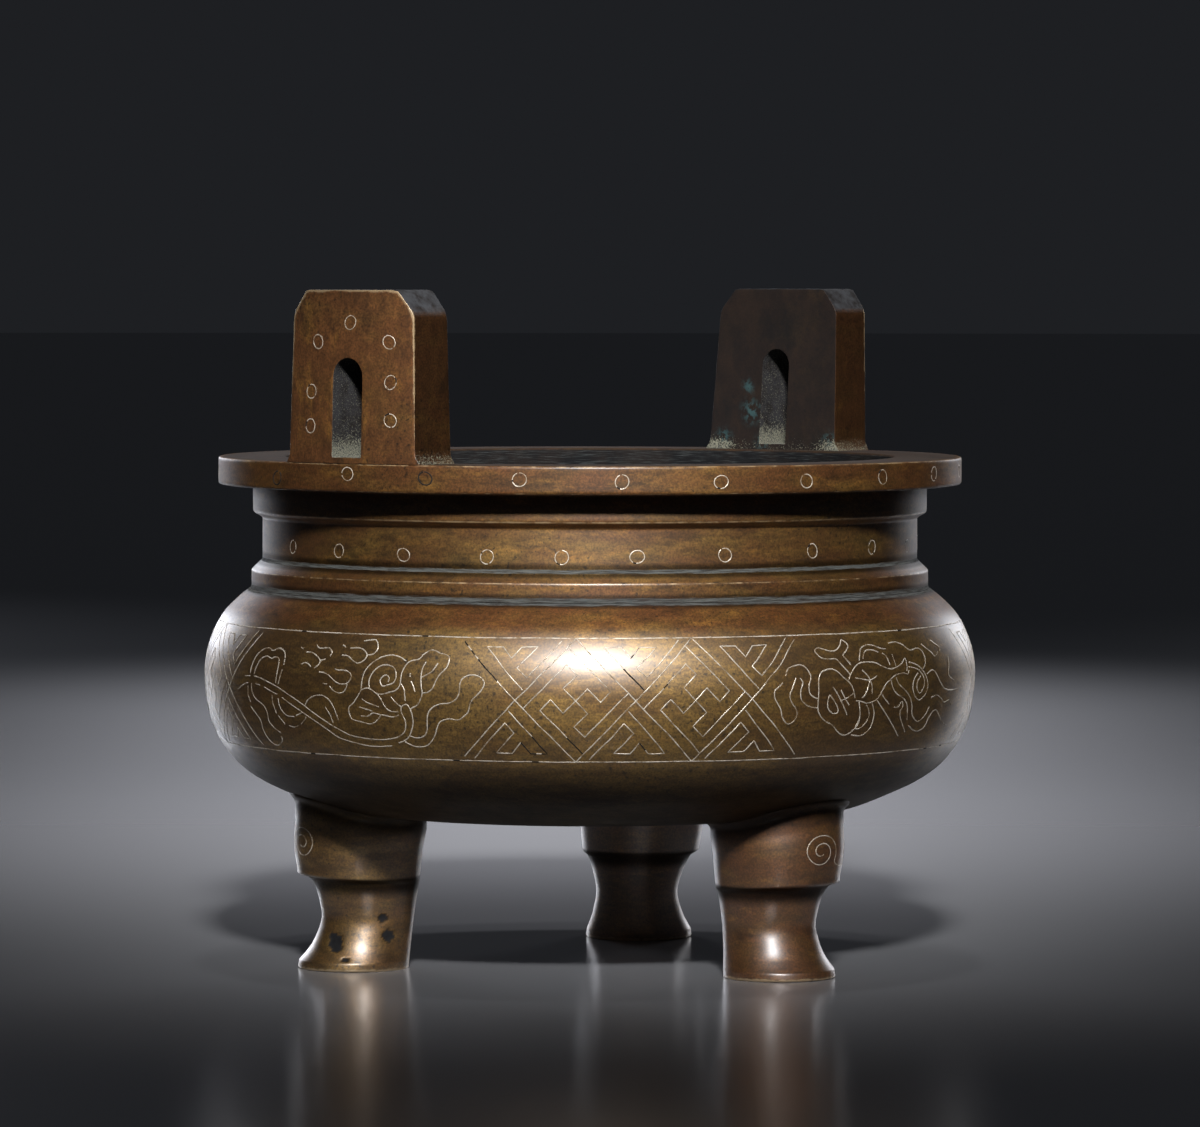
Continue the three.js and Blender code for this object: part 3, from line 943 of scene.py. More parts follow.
@dataclass(frozen=True)
class WireSet:
    """Wires hammered into engraved grooves and rubbed level with the bronze."""

    name: str
    nodes: tuple[str, ...] = ()
    radius: float = 0.155
    sink: float = 0.105
    empty_radius: float = 0.165

    def lay(self, lines: Iterable[Strand], finishes: Finishes) -> None:
        """Makes one object of each filling from lines on the surface.

        Args:
            lines: What each line holds, and its points on the surface in millimetres.
            finishes: The material of each filling.
        """
        sorted_lines: dict[Filling, list[Line]] = {filling: [] for filling in Filling}
        for filling, line in lines:
            sorted_lines[filling].append(line)
        for filling, strands in sorted_lines.items():
            if not strands:
                continue
            silver = filling is Filling.SILVER
            name = self.name if silver else self.name.replace("_silver", "") + "_empty_grooves"
            piece = self._tubes(name, strands, self.radius if silver else self.empty_radius)
            piece.data.materials.append(finishes[filling])
            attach(piece, BODY)
            if silver and self.nodes:
                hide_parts(*self.nodes)
            LOG.info("%s: %d strands", name, len(strands))

    @staticmethod
    def _tubes(name: str, strands: list[Line], radius: float) -> bpy.types.Object:
        """Sweeps round wire along the strands and makes it a mesh."""
        curve = bpy.data.curves.new(name, "CURVE")
        curve.dimensions = "3D"
        curve.bevel_depth = radius * MM
        curve.bevel_resolution = 1
        curve.use_fill_caps = True
        for strand in strands:
            spline = curve.splines.new("POLY")
            closed = (strand[0] - strand[-1]).length < CLOSED_WITHIN
            points = strand[:-1] if closed else strand
            spline.points.add(len(points) - 1)
            for point, place in zip(spline.points, points):
                point.co = (*(place * MM), 1.0)
            spline.use_cyclic_u = closed
            spline.use_smooth = True
        swept = bpy.data.objects.new(name + "_line", curve)
        mesh = bpy.data.meshes.new_from_object(swept)
        mesh.name = name
        bpy.data.objects.remove(swept)
        bpy.data.curves.remove(curve)
        mesh.materials.clear()
        return linked(name, mesh)


@dataclass
class Frieze:
    """The belly's band of inlay: two border wires, four lattice panels and four panels of emblems."""

    bowl: Bowl
    top: float = 57.85
    bottom: float = 38.0
    lozenge: float = 8.55
    panel_end: float = 0.93
    border_breaks: int = 30

    # The panels' middles, in degrees round the bowl
    PANELS: ClassVar[dict[str, float]] = {
        "front_left": 225,
        "front_right": 315,
        "back_right": 45,
        "back_left": 135,
    }
    CROSSINGS: ClassVar[tuple[int, ...]] = (-2, 0, 2)
    # The key fret inside a lozenge, on axes along its sides, each from -1 to 1
    FRET: ClassVar[tuple[Flat, ...]] = (
        (0.98, 0.74), (-0.44, 0.74), (-0.44, 0.40), (0.0, 0.40), (0.0, -0.40), (0.44, -0.40), (0.44, -0.74),
        (-0.98, -0.74),
    )
    # The hook above a crossing, as shares of half a lozenge across and up from it
    HOOK: ClassVar[tuple[Flat, ...]] = (
        (0.12, 0.17), (-0.52, 0.86), (-0.23, 0.86), (-0.08, 0.68), (0.08, 0.86), (0.36, 0.86), (0.03, 0.53),
        (0.19, 0.37), (0.76, 0.96),
    )

    def _spot(self, centre: float, across: float, up: float) -> Flat:
        """The angle and height on the belly of a place in shares of half a lozenge, as a hand laid it."""
        angle = centre + across * self.lozenge
        height = (self.top + self.bottom) / 2 + up * (self.top - self.bottom) / 2
        spot = Vector((angle * 0.35, height * 0.35, centre))
        sideways = noise.noise(spot)
        upwards = noise.noise(spot + Vector((11.3, 5.7, 2.1)))
        return angle + 0.14 * sideways, height + 0.12 * upwards

    def wires(self, front: bool) -> dict[str, list[Stroke]]:
        """The wires of a lattice panel by the end of their names.

        Args:
            front: Whether this is the panel that faces the viewer, where stretches are lost.

        Returns:
            The strokes of each wire, in shares of half a lozenge.
        """
        net: list[Stroke] = []
        for crossing in self.CROSSINGS:
            left = crossing - (self.panel_end if crossing == self.CROSSINGS[0] else 1)
            right = crossing + (self.panel_end if crossing == self.CROSSINGS[-1] else 1)
            worn_off = ((0.0, 0.03), (0.06, 0.1), (0.13, 0.3)) if front and crossing == -2 else ()
            net.append(Stroke(((left, crossing - left), (right, crossing - right)), worn_off))
            net.append(Stroke(((left, left - crossing), (right, right - crossing))))
        wires = {"lattice": net}
        for number, middle in enumerate((-1, 1), start=1):
            strands = []
            for turned in (False, True):
                line = [(over, -along) if turned else (along, over) for along, over in self.FRET]
                points = tuple((middle + (a + b) / 2, (a - b) / 2) for a, b in line)
                strands.append(Stroke(points, self._lost(front, middle, turned)))
            wires[f"fret_{number}"] = strands
        for number, crossing in enumerate(self.CROSSINGS, start=1):
            above = tuple((crossing + x, y) for x, y in self.HOOK)
            below = tuple((crossing - x, -y) for x, y in self.HOOK)
            gaps = ((0.0, 0.12), (0.4, 0.42)) if front and crossing == 0 else ()
            wires[f"hook_upper_{number}"] = [Stroke(above, gaps)]
            gaps = {-2: ((0.15, 0.28), (0.31, 0.4)), 0: ((0.355, 0.41),)}.get(crossing, ()) if front else ()
            wires[f"hook_lower_{number}"] = [Stroke(below, gaps)]
        return wires

    @staticmethod
    def _lost(front: bool, middle: int, turned: bool) -> tuple[Flat, ...]:
        """The shares of a fret's strand that have lost their wire."""
        if not front:
            return ()
        if middle == -1:
            return ((0.88, 1.0),) if turned else ()
        return () if turned else ((0.78, 0.79), (0.85, 0.865))

    def _on_belly(self, spots: Iterable[Flat]) -> Line:
        """Wire laid through angles and heights on the belly."""
        return [self.bowl.belly_place(angle, height, -WireSet.sink) for angle, height in spots]

    def build(self, finishes: Finishes) -> None:
        """Lays the border wires and the lattice panels."""
        for name, height in (("frieze_upper_wire", self.top), ("frieze_lower_wire", self.bottom)):
            chance = random.Random(name)
            starts = (chance.random() for _ in range(self.border_breaks))
            breaks = tuple((start, start + chance.uniform(0.0003, 0.0011)) for start in starts)
            turn = Stroke(((0.0, height), (360.0, height)), breaks)
            lines = [
                (filling, self._on_belly(self._level(*spot) for spot in run))
                for filling, run in turn.stretches(1.0)
            ]
            WireSet(name + "_silver", (name,)).lay(lines, finishes)
        for panel, centre in self.PANELS.items():
            for name, strokes in self.wires(panel == "front_left").items():
                kind, _, rest = name.partition("_")
                node = "_".join(part for part in (kind, panel, rest) if part)
                lines = [
                    (filling, self._on_belly(self._spot(centre, *spot) for spot in run))
                    for stroke in strokes
                    for filling, run in stroke.stretches(0.1)
                ]
                WireSet(node + "_silver", (node,)).lay(lines, finishes)

    @staticmethod
    def _level(angle: float, height: float) -> Flat:
        """A place on a border wire, which wavers a little and meets itself."""
        turn = math.radians(angle)
        hand = noise.noise(Vector((9 * math.cos(turn), 9 * math.sin(turn), height)))
        return angle, height + 0.09 * hand


@dataclass(frozen=True)
class Emblem:
    """A free drawing in wire on a side panel of the belly, as strokes through pixels of the photograph."""

    name: str
    strokes: tuple[tuple[Flat, ...], ...]

    def lines(self, bowl: Bowl, view: View, turn: float) -> Iterable[Strand]:
        """The wires on the belly.

        Args:
            bowl: The bowl that carries them.
            view: The view that the strokes' pixels belong to.
            turn: How far round the bowl they go from where the photograph shows them, in degrees.

        Yields:
            What a stretch holds, and its points on the surface.
        """
        for pixels in self.strokes:
            spots = tuple(view.belly_spot(bowl, x, y) for x, y in pixels)
            for filling, run in Stroke(spots, curved=True).stretches(1.0):
                yield filling, [bowl.belly_place(angle + turn, up, -WireSet.sink) for angle, up in run]


LOTUS = Emblem(
    "lotus",
    (
        # The long stem's two edges
        ((245, 676), (250, 675.5)),
        ((254, 676), (260, 678), (271, 683.5), (278, 687.5), (289, 695), (302, 704), (315, 714),
         (328, 723), (340, 730), (353, 736), (375, 739.5), (390, 739), (400, 736), (405, 730), (405, 721),
         (401, 712), (402, 706), (407, 705), (411, 712), (413, 722), (411, 732), (407, 739), (399, 743)),
        ((238, 689), (244, 684), (248, 682.5)),
        ((255.5, 683.5), (260, 685)),
        ((264, 687), (277, 694.5)),
        ((282, 697.5), (287, 701.5), (302, 712), (315, 721), (328, 730), (340, 738), (360, 744),
         (375, 746.5), (392, 746)),
        # The upper bow
        ((250, 673), (252, 665), (257, 655), (264, 649), (269.5, 648), (273, 650.5), (279, 648),
         (284, 651), (285, 657), (283.5, 665)),
        ((282, 669.5), (278, 684)),
        ((254, 674), (256, 667.5), (261, 659), (267, 656), (271.5, 658.5), (275, 657), (279, 660.5),
         (275.5, 683)),
        # Its tails
        ((248, 685.5), (248, 694), (250.5, 702)),
        ((250.5, 706), (256, 713.5), (261, 721), (263, 729), (268, 738), (274, 744), (278.5, 745),
         (282, 741), (281.5, 736.5)),
        ((251.5, 683), (251.5, 689), (255, 698), (262.5, 704.5), (267, 712), (269, 721), (274, 727.5),
         (281, 733)),
        # The lower bow
        ((272, 695), (272.5, 702), (276.5, 713.5)),
        ((278, 715), (285, 724)),
        ((289, 725.5), (294, 727), (298, 726)),
        ((301, 724), (305, 719), (306, 716.5)),
        ((278, 698), (279.5, 706), (283, 712), (288, 716), (294, 716.5)),
        ((296, 715.5), (302, 712.5)),
        # The third bow
        ((305, 704.5), (308.5, 699), (315, 695.5), (322.5, 695.5), (329, 700), (334, 708.5), (336.5, 715),
         (338.5, 720.5)),
        ((325, 707), (330, 715), (333, 723)),
        # Clouds
        ((301, 647), (303.5, 649)),
        ((306.5, 652), (312, 652.5), (317, 656), (320, 660.5), (318, 665), (314, 668)),
        ((320, 660.5), (325.5, 659)),
        ((301.5, 664), (305, 662.5), (308.5, 664), (311, 667)),
        ((317, 645), (320, 648), (329, 648), (332, 652), (330, 656)),
        ((319, 672), (324.5, 673), (330, 676.5), (335, 681.5), (340.5, 684), (347, 683), (351, 677),
         (349, 672), (343.5, 670), (338.5, 670), (335, 669)),
        ((323, 683.5), (327, 684)),
        ((329.5, 686), (333, 690.5), (338.5, 693), (343, 692), (346, 688), (347, 683)),
        ((343, 645), (346, 647)),
        ((350.5, 648), (360, 648), (365, 651), (367, 655), (365, 659), (361, 662), (357, 663),
         (353, 660.5), (348, 656), (342, 655)),
        ((364, 641), (370, 640), (376, 640), (378, 645), (377, 650), (373, 654), (367, 655)),
        # The rolled leaf
        ((406, 661), (400, 657), (392, 655), (382, 657), (372, 663), (365, 671), (362, 680), (361, 690)),
        ((369, 688), (369, 680), (373, 672), (380, 666), (388, 665), (394, 668), (396, 675), (394, 682),
         (388, 685), (382, 686), (380, 681), (382, 677), (386, 675), (389, 678), (388, 682)),
        ((361, 690), (367, 688), (373, 691), (377, 694), (383, 694), (390, 692), (396, 690), (400, 684),
         (402, 672), (409, 662), (419, 659), (424, 654), (432, 650), (440, 653), (448, 656), (449, 661),
         (446, 668), (440, 674), (436, 680), (433, 687), (428, 692), (422, 693)),
        ((361, 690), (357, 697), (353, 703), (349, 707), (349, 713), (352, 719), (358, 721), (365, 723),
         (370, 724), (375, 722), (379, 718), (381, 715), (387, 716), (393, 717), (399, 715)),
        # Veins
        ((362, 699), (368, 703), (379, 707)),
        ((359, 707), (372, 711)),
        ((361, 716), (368, 716), (373, 713), (381, 715)),
        ((377, 694), (381, 700), (385, 707), (390, 711), (398, 712)),
        ((391, 697), (395, 702), (401, 707)),
        ((401, 684), (404, 690), (405, 701)),
        ((426, 662), (423, 667), (421, 675), (421, 685), (422, 693), (420, 700), (417, 705), (410, 709)),
        ((438, 663), (433, 670), (428, 674), (422, 677)),
        ((410, 673), (410, 677)),
        ((411, 681), (413, 686), (415, 692)),
        # The waving ribbon
        ((410, 736), (417, 738), (424, 736), (427, 730), (427, 722), (428, 713), (433, 707), (440, 704),
         (449, 703), (456, 699), (459, 692), (460, 683), (463, 678), (470, 675), (478, 676), (483, 680),
         (484, 685), (480, 692), (473, 699), (470, 704), (468, 712), (463, 717), (458, 720), (448, 719),
         (440, 722), (437, 728), (435, 735), (431, 742), (426, 746), (418, 747), (411, 745), (405, 742)),
    ),
)

GOURD = Emblem(
    "gourd",
    (
        # The left ribbon
        ((786, 676), (788, 669), (794, 666), (801, 665), (807, 669), (811, 677), (809, 687), (811, 695),
         (818, 699)),
        ((783, 683), (779, 687), (775, 691), (775, 698), (778, 704), (781, 710), (782, 716), (785, 722),
         (789, 724), (794, 721), (797, 715), (796, 709), (792, 703), (790, 696), (792, 690), (794, 684),
         (796, 678)),
        ((800, 678), (803, 683), (801, 690), (801, 698), (804, 703), (810, 707), (818, 708)),
        # The leaf and its loop
        ((848, 681), (843, 677), (838, 672), (832, 669), (826, 670), (821, 673), (819, 680), (819, 690),
         (818, 708), (820, 715), (825, 721), (832, 725), (837, 731), (842, 735), (848, 734), (854, 729),
         (858, 724), (860, 715), (859, 701)),
        ((830, 695), (828, 700), (828, 708), (832, 713), (837, 713), (838, 709), (835, 702), (830, 695)),
        ((833, 687), (837, 693), (843, 705), (847, 715)),
        ((841, 690), (845, 698), (849, 705)),
        ((840, 701), (847, 698), (854, 693)),
        ((848, 681), (852, 686), (854, 692), (855, 698)),
        ((851, 665), (846, 659), (843, 655), (846, 651), (848, 646), (845, 642), (841, 640), (840, 645),
         (836, 650), (830, 651), (819, 648), (815, 650), (817, 654), (822, 658), (829, 659), (836, 659),
         (841, 664), (850, 674)),
        # The gourd
        ((849, 680), (851, 674), (855, 667), (860, 663), (868, 662), (876, 663), (884, 667), (891, 669),
         (897, 667), (902, 663), (905, 658), (907, 665), (907, 671)),
        ((856, 701), (860, 701), (866, 703), (872, 702), (878, 698), (882, 691), (886, 684), (891, 679),
         (896, 675), (903, 673), (908, 674), (909, 670)),
        ((862, 670), (867, 675), (870, 680), (872, 686), (872, 694)),
        ((855, 678), (862, 679), (870, 680), (877, 676)),
        ((870, 680), (868, 688), (865, 695), (862, 698)),
        ((859, 702), (860, 712), (859, 720), (855, 728), (860, 728), (866, 722), (869, 715), (868, 708),
         (866, 705)),
        ((872, 703), (874, 712), (873, 720), (870, 728), (864, 734), (858, 736), (851, 735)),
        # Its cords
        ((877, 700), (882, 708), (889, 719), (893, 726), (898, 736)),
        ((881, 693), (885, 699), (889, 704)),
        ((859, 661), (860, 653), (861, 648), (866, 645), (872, 645), (880, 648), (886, 649)),
        ((863, 659), (864, 653), (867, 650), (873, 650), (878, 652)),
        ((882, 653), (886, 656), (890, 665)),
        ((892, 654), (894, 660), (896, 666)),
        # Its neck
        ((909, 662), (915, 664), (921, 668), (926, 676), (928, 685), (926, 693), (922, 698), (919, 700),
         (915, 696), (913, 688), (914, 680), (918, 673)),
        ((909, 667), (915, 668), (920, 671), (924, 678), (924, 686), (920, 693), (917, 688), (918, 681),
         (921, 676)),
        # The vapour above
        ((888, 643), (896, 642), (903, 645), (910, 650), (917, 648), (922, 651), (925, 658), (925, 665),
         (923, 669)),
        ((921, 644), (926, 648), (931, 652), (935, 656), (938, 652)),
        ((930, 640), (934, 643), (939, 647), (940, 653)),
        # The right ribbons
        ((891, 680), (893, 688), (897, 694), (903, 698), (907, 705), (907, 720)),
        ((896, 677), (899, 684), (905, 690), (910, 697), (912, 706), (912, 714), (915, 720), (919, 721),
         (925, 715), (929, 707)),
        ((909, 726), (913, 730), (918, 731), (924, 727), (928, 719), (932, 712), (936, 710), (939, 715),
         (942, 722), (946, 725)),
        ((902, 701), (903, 706), (900, 712), (901, 720), (905, 732)),
        ((894, 707), (898, 707), (901, 702)),
        ((927, 674), (932, 670), (936, 673), (940, 681), (944, 688), (950, 690), (957, 689)),
        ((931, 698), (936, 695), (941, 698), (944, 702), (949, 700), (951, 705)),
        ((948, 656), (949, 664), (949, 675), (954, 680)),
    ),
)


@dataclass
class Rings:
    """The small wire rings on lip, neck and handles."""

    bowl: Bowl
    radius: float = 1.12
    wire_radius: float = 0.145
    count: int = 24
    seed: int = 5
    steps: int = 24

    # The rings that the photograph shows, as (degrees round the bowl, height), and those without wire
    LIP_SPOTS: ClassVar[tuple[Flat, ...]] = (
        (163.7, 82.6), (179.7, 83.7), (193.5, 83.2), (208.1, 83.1), (223.2, 82.8), (238.1, 82.7),
        (252.4, 82.7), (268.1, 83.0), (283.5, 83.1),
    )
    LIP_EMPTY: ClassVar[tuple[int, ...]] = (0, 2)
    NECK_SPOTS: ClassVar[tuple[Flat, ...]] = (
        (155.8, 70.9), (170.5, 70.7), (185.3, 70.5), (201.0, 70.4), (213.8, 70.4), (226.4, 70.5),
        (241.8, 70.7), (259.5, 71.0), (275.7, 71.1),
    )
    NECK_EMPTY: ClassVar[tuple[int, ...]] = (12,)
    # The rings of a handle, as (across, height)
    HANDLE_SPOTS: ClassVar[tuple[Flat, ...]] = (
        (0.35, 108.1), (-6.8, 105.0), (8.05, 105.0), (-8.4, 96.9), (8.3, 98.5), (-8.65, 91.3), (8.25, 92.4),
    )

    def _ring(
        self, place: Callable[[float, float], Vector], chance: random.Random, empty: bool
    ) -> Iterable[Strand]:
        """An uneven ring that doesn't quite close.

        Args:
            place: Puts a point, given across and up from the ring's middle, on the surface.
            chance: Where its unevenness comes from.
            empty: Whether its wire is lost.

        Yields:
            What a stretch holds, and its points on the surface.
        """
        stretch, slant = chance.uniform(0.03, 0.09), chance.uniform(0, math.pi)
        start, gap = chance.uniform(0, math.tau), chance.uniform(-0.05, 0.5)
        points = []
        for step in range(self.steps + 1):
            turn = start + (math.tau - gap) * step / self.steps
            out = self.radius * (1 + stretch * math.cos(2 * (turn - slant)) + 0.03 * math.sin(turn - slant))
            points.append((out * math.cos(turn), out * math.sin(turn)))
        break_at = chance.uniform(0.2, 0.8)
        lost = ((0.0, 1.0),) if empty else ((break_at, break_at + chance.choice((0.0, 0.0, 0.05, 0.1))),)
        for filling, run in Stroke(tuple(points), lost).stretches(0.3):
            yield filling, [place(across, up) for across, up in run]

    def _row(self, spots: Sequence[Flat], empty: Sequence[int], radius: float) -> Iterable[Strand]:
        """A row of rings round the vessel: the seen ones where they are, the rest evenly spaced."""
        chance = random.Random(self.seed)
        spots = list(spots)
        first, last = spots[0][0], spots[-1][0]
        extra = self.count - len(spots)
        gap = (first + 360 - last) / (extra + 1)
        middle = sum(height for _, height in spots) / len(spots)
        for index in range(1, extra):
            wander = chance.uniform(-0.25, 0.25) if index > 1 else 0.8
            spots.append((last + gap * index + wander, middle + chance.uniform(-0.25, 0.25)))
        for index, (angle, height) in enumerate(spots):
            yield from self._ring(
                lambda across, up: self.bowl.wall_place(
                    angle + math.degrees(across / radius), radius - WireSet.sink, height + up
                ),
                chance,
                index in empty,
            )

    def build(self, handles: Sequence[Handle], finishes: Finishes) -> None:
        """Lays the rings of lip, neck and both handles."""
        for name, spots, empty, radius in (
            ("lip_rings", self.LIP_SPOTS, self.LIP_EMPTY, self.bowl.rim_radius),
            ("neck_rings", self.NECK_SPOTS, self.NECK_EMPTY, self.bowl.neck_radius),
        ):
            WireSet(name, radius=self.wire_radius).lay(self._row(spots, empty, radius), finishes)
        chance = random.Random(self.seed + 1)
        for handle in handles:
            lines = [
                strand
                for u, z in self.HANDLE_SPOTS
                for strand in self._ring(
                    lambda across, up: handle.face_place(u + across, z + up, -WireSet.sink), chance, False
                )
            ]
            WireSet(handle.name + "_rings", radius=self.wire_radius).lay(lines, finishes)


# Finishes


Colour = tuple[float, float, float]
Inputs = dict[str | int, object]


class Tree:
    """Adds nodes to a node tree and links them, so that a finish reads as a list of steps."""

    def __init__(self, tree: bpy.types.NodeTree) -> None:
        """Starts on a tree, which keeps the nodes it has."""
        self.tree = tree

    def node(self, kind: str, inputs: Inputs | None = None, **settings: object) -> bpy.types.Node:
        """Adds a node.

        Args:
            kind: The node's type.
            inputs: Values or sockets for its inputs, by name or number.
            settings: Its other properties.

        Returns:
            The new node.
        """
        made = self.tree.nodes.new(kind)
        for key, value in settings.items():
            setattr(made, key, value)
        for key, value in (inputs or {}).items():
            self.feed(made.inputs[key], value)
        return made

    def feed(self, socket: bpy.types.NodeSocket, value: object) -> None:
        """Links a socket to an input, or gives it a value; a colour may be three numbers."""
        if isinstance(value, bpy.types.NodeSocket):
            self.tree.links.new(value, socket)
        elif socket.type == "RGBA" and isinstance(value, tuple):
            socket.default_value = (*value[:3], 1.0)
        else:
            socket.default_value = value

    def math(self, operation: str, a: object, b: object = 0.0, clamp: bool = False) -> bpy.types.NodeSocket:
        """The result of a math operation on two sockets or numbers."""
        return self.node("ShaderNodeMath", {0: a, 1: b}, operation=operation, use_clamp=clamp).outputs[0]

    def times(self, a: object, b: object) -> bpy.types.NodeSocket:
        """The product of two sockets or numbers."""
        return self.math("MULTIPLY", a, b)

    def scaled(self, vector: object, factors: object) -> bpy.types.NodeSocket:
        """A vector with each part multiplied by its factor."""
        return self.node("ShaderNodeVectorMath", {0: vector, 1: factors}, operation="MULTIPLY").outputs[0]

    def spread(
        self, value: object, low: float, high: float, to_low: float = 0.0, to_high: float = 1.0
    ) -> bpy.types.NodeSocket:
        """A value mapped smoothly from one range to another."""
        inputs = {"Value": value, "From Min": low, "From Max": high, "To Min": to_low, "To Max": to_high}
        return self.node("ShaderNodeMapRange", inputs, interpolation_type="SMOOTHSTEP").outputs["Result"]

    def mix(self, share: object, a: object, b: object, blend: str = "MIX") -> bpy.types.NodeSocket:
        """Two colours mixed by a share."""
        inputs = {0: share, 6: a, 7: b}
        return self.node("ShaderNodeMix", inputs, data_type="RGBA", blend_type=blend).outputs[2]

    def noise(
        self, vector: object, scale: object, detail: float = 4.0, roughness: float = 0.55, level: float = 1.0
    ) -> bpy.types.NodeSocket:
        """A noise value between 0 and 1; level stretches it along Z, as turning draws a mark out level."""
        if level != 1.0:
            vector = self.scaled(vector, (1.0, 1.0, level))
        inputs = {"Vector": vector, "Scale": scale, "Detail": detail, "Roughness": roughness}
        return self.node("ShaderNodeTexNoise", inputs).outputs["Fac"]

    def bump(self, height: object, strength: float, distance: float, normal: object) -> bpy.types.NodeSocket:
        """A normal roughened by a height, whose full swing stands for a distance in metres."""
        inputs = {"Height": height, "Strength": strength, "Distance": distance}
        if normal is not None:
            inputs["Normal"] = normal
        return self.node("ShaderNodeBump", inputs).outputs[0]

    def group(self, group: bpy.types.NodeTree, inputs: dict[str, object]) -> bpy.types.Node:
        """Places a shared group."""
        made = self.node("ShaderNodeGroup", node_tree=group)
        for name, value in inputs.items():
            self.feed(made.inputs[name], value)
        return made


def new_group(
    name: str, inputs: dict[str, str], outputs: dict[str, str]
) -> tuple[Tree, bpy.types.Node, bpy.types.Node]:
    """Starts a shader node group.

    Args:
        name: The group's name.
        inputs: Its input sockets' names and types.
        outputs: Its output sockets' names and types.

    Returns:
        The helper for its tree, and its input and output nodes.
    """
    group = bpy.data.node_groups.new(name, "ShaderNodeTree")
    for sockets, side in ((inputs, "INPUT"), (outputs, "OUTPUT")):
        for socket, kind in sockets.items():
            group.interface.new_socket(socket, in_out=side, socket_type="NodeSocket" + kind)
    tree = Tree(group)
    return tree, tree.node("NodeGroupInput"), tree.node("NodeGroupOutput")


def new_material(name: str) -> tuple[bpy.types.Material, Tree, bpy.types.Node]:
    """Starts a material, and gives also the helper for its tree and its shader."""
    material = bpy.data.materials.new(name)
    material.use_nodes = True
    return material, Tree(material.node_tree), material.node_tree.nodes["Principled BSDF"]


@dataclass(frozen=True)
class Patina:
    """The colours of an old bronze skin, in linear light, as a group that places them."""

    gold: Colour = (0.36, 0.205, 0.046)
    brown: Colour = (0.205, 0.106, 0.026)
    red: Colour = (0.23, 0.092, 0.028)
    amber: Colour = (0.46, 0.22, 0.045)
    dark: Colour = (0.028, 0.016, 0.008)

    def group(self) -> bpy.types.NodeTree:
        """Clouds of gold and brown drawn out along the turning, red fields, amber rubs and dark specks."""
        tree, ins, outs = new_group(
            "patina",
            {"Vector": "Vector", "Drawn": "Vector", "Tint": "Float"},
            {"Color": "Color", "Cloud": "Float"},
        )
        place = ins.outputs["Vector"]
        drawn = tree.scaled(place, ins.outputs["Drawn"])
        broad = tree.noise(place, 36, 4, 0.55, level=1.6)
        streaks = tree.noise(drawn, 75, 6, 0.66)
        mottle = tree.noise(drawn, 330, 4, 0.65)
        cloud = tree.math("ADD", tree.times(broad, 0.45), tree.times(streaks, 0.38))
        cloud = tree.math("ADD", cloud, tree.times(mottle, 0.17))
        colour = tree.mix(tree.spread(cloud, 0.43, 0.57), self.brown, self.gold)
        fields = tree.math("ADD", tree.noise(place, 85, 5, 0.62, level=3.0), ins.outputs["Tint"])
        colour = tree.mix(tree.spread(fields, 0.50, 1.05), colour, self.red)
        lively = tree.spread(ins.outputs["Tint"], 0.0, 0.3, 0.45, 1.0)
        rubs = tree.spread(tree.noise(drawn, 110, 6, 0.7), 0.54, 0.68, 0.0, 0.6)
        colour = tree.mix(tree.times(rubs, lively), colour, self.amber)
        drift = tree.spread(streaks, 0.3, 0.6, 0.9, 1.08)
        blotches = tree.times(tree.noise(drawn, 120, 6, 0.7), drift)
        blotches = tree.spread(blotches, 0.53, 0.70, 0.0, 0.5)
        colour = tree.mix(tree.times(blotches, lively), colour, self.dark)
        colour = tree.mix(1.0, colour, tree.spread(mottle, 0.30, 0.70, 0.80, 1.18), "MULTIPLY")
        grain = tree.noise(place, 3000, 2, 0.5)
        colour = tree.mix(1.0, colour, tree.spread(grain, 0.3, 0.7, 0.66, 1.32), "MULTIPLY")
        specks = tree.times(tree.noise(place, 1500, 2, 0.55), tree.spread(broad, 0.35, 0.65, 0.86, 1.06))
        colour = tree.mix(tree.spread(specks, 0.62, 0.71, 0.0, 0.8), colour, self.dark)
        tree.feed(outs.inputs["Color"], colour)
        tree.feed(outs.inputs["Cloud"], cloud)
        return tree.tree


def turning_group() -> bpy.types.NodeTree:
    """The height of fine level scratches left by turning and polishing."""
    tree, ins, outs = new_group("turning_marks", {"Vector": "Vector"}, {"Height": "Float"})
    place = ins.outputs["Vector"]
    coarse = tree.noise(place, 60, 3, 0.6, level=50)
    fine = tree.noise(place, 240, 3, 0.6, level=30)
    tree.feed(outs.inputs["Height"], tree.math("ADD", coarse, tree.times(fine, 0.7)))
    return tree.tree


def broken_mask_group() -> bpy.types.NodeTree:
    """A mark broken up by noise, for rubbed edges and gathered dust."""
    tree, ins, outs = new_group(
        "broken_mask",
        {name: "Float" for name in ("Share", "Scale", "Breakup", "Edge", "Level")} | {"Vector": "Vector"},
        {"Mask": "Float", "Grain": "Float"},
    )
    share = ins.outputs["Share"]
    drawn = tree.node("ShaderNodeCombineXYZ", {0: 1.0, 1: 1.0, 2: ins.outputs["Level"]}).outputs[0]
    grain = tree.noise(tree.scaled(ins.outputs["Vector"], drawn), ins.outputs["Scale"], 4.0, 0.62)
    swing = tree.times(tree.math("SUBTRACT", grain, 0.5), ins.outputs["Breakup"])
    level = tree.math("SUBTRACT", tree.math("ADD", share, swing), ins.outputs["Edge"])
    present = tree.spread(share, 0.0, 0.1)
    tree.feed(outs.inputs["Mask"], tree.times(tree.spread(level, -0.12, 0.16), present))
    tree.feed(outs.inputs["Grain"], grain)
    return tree.tree


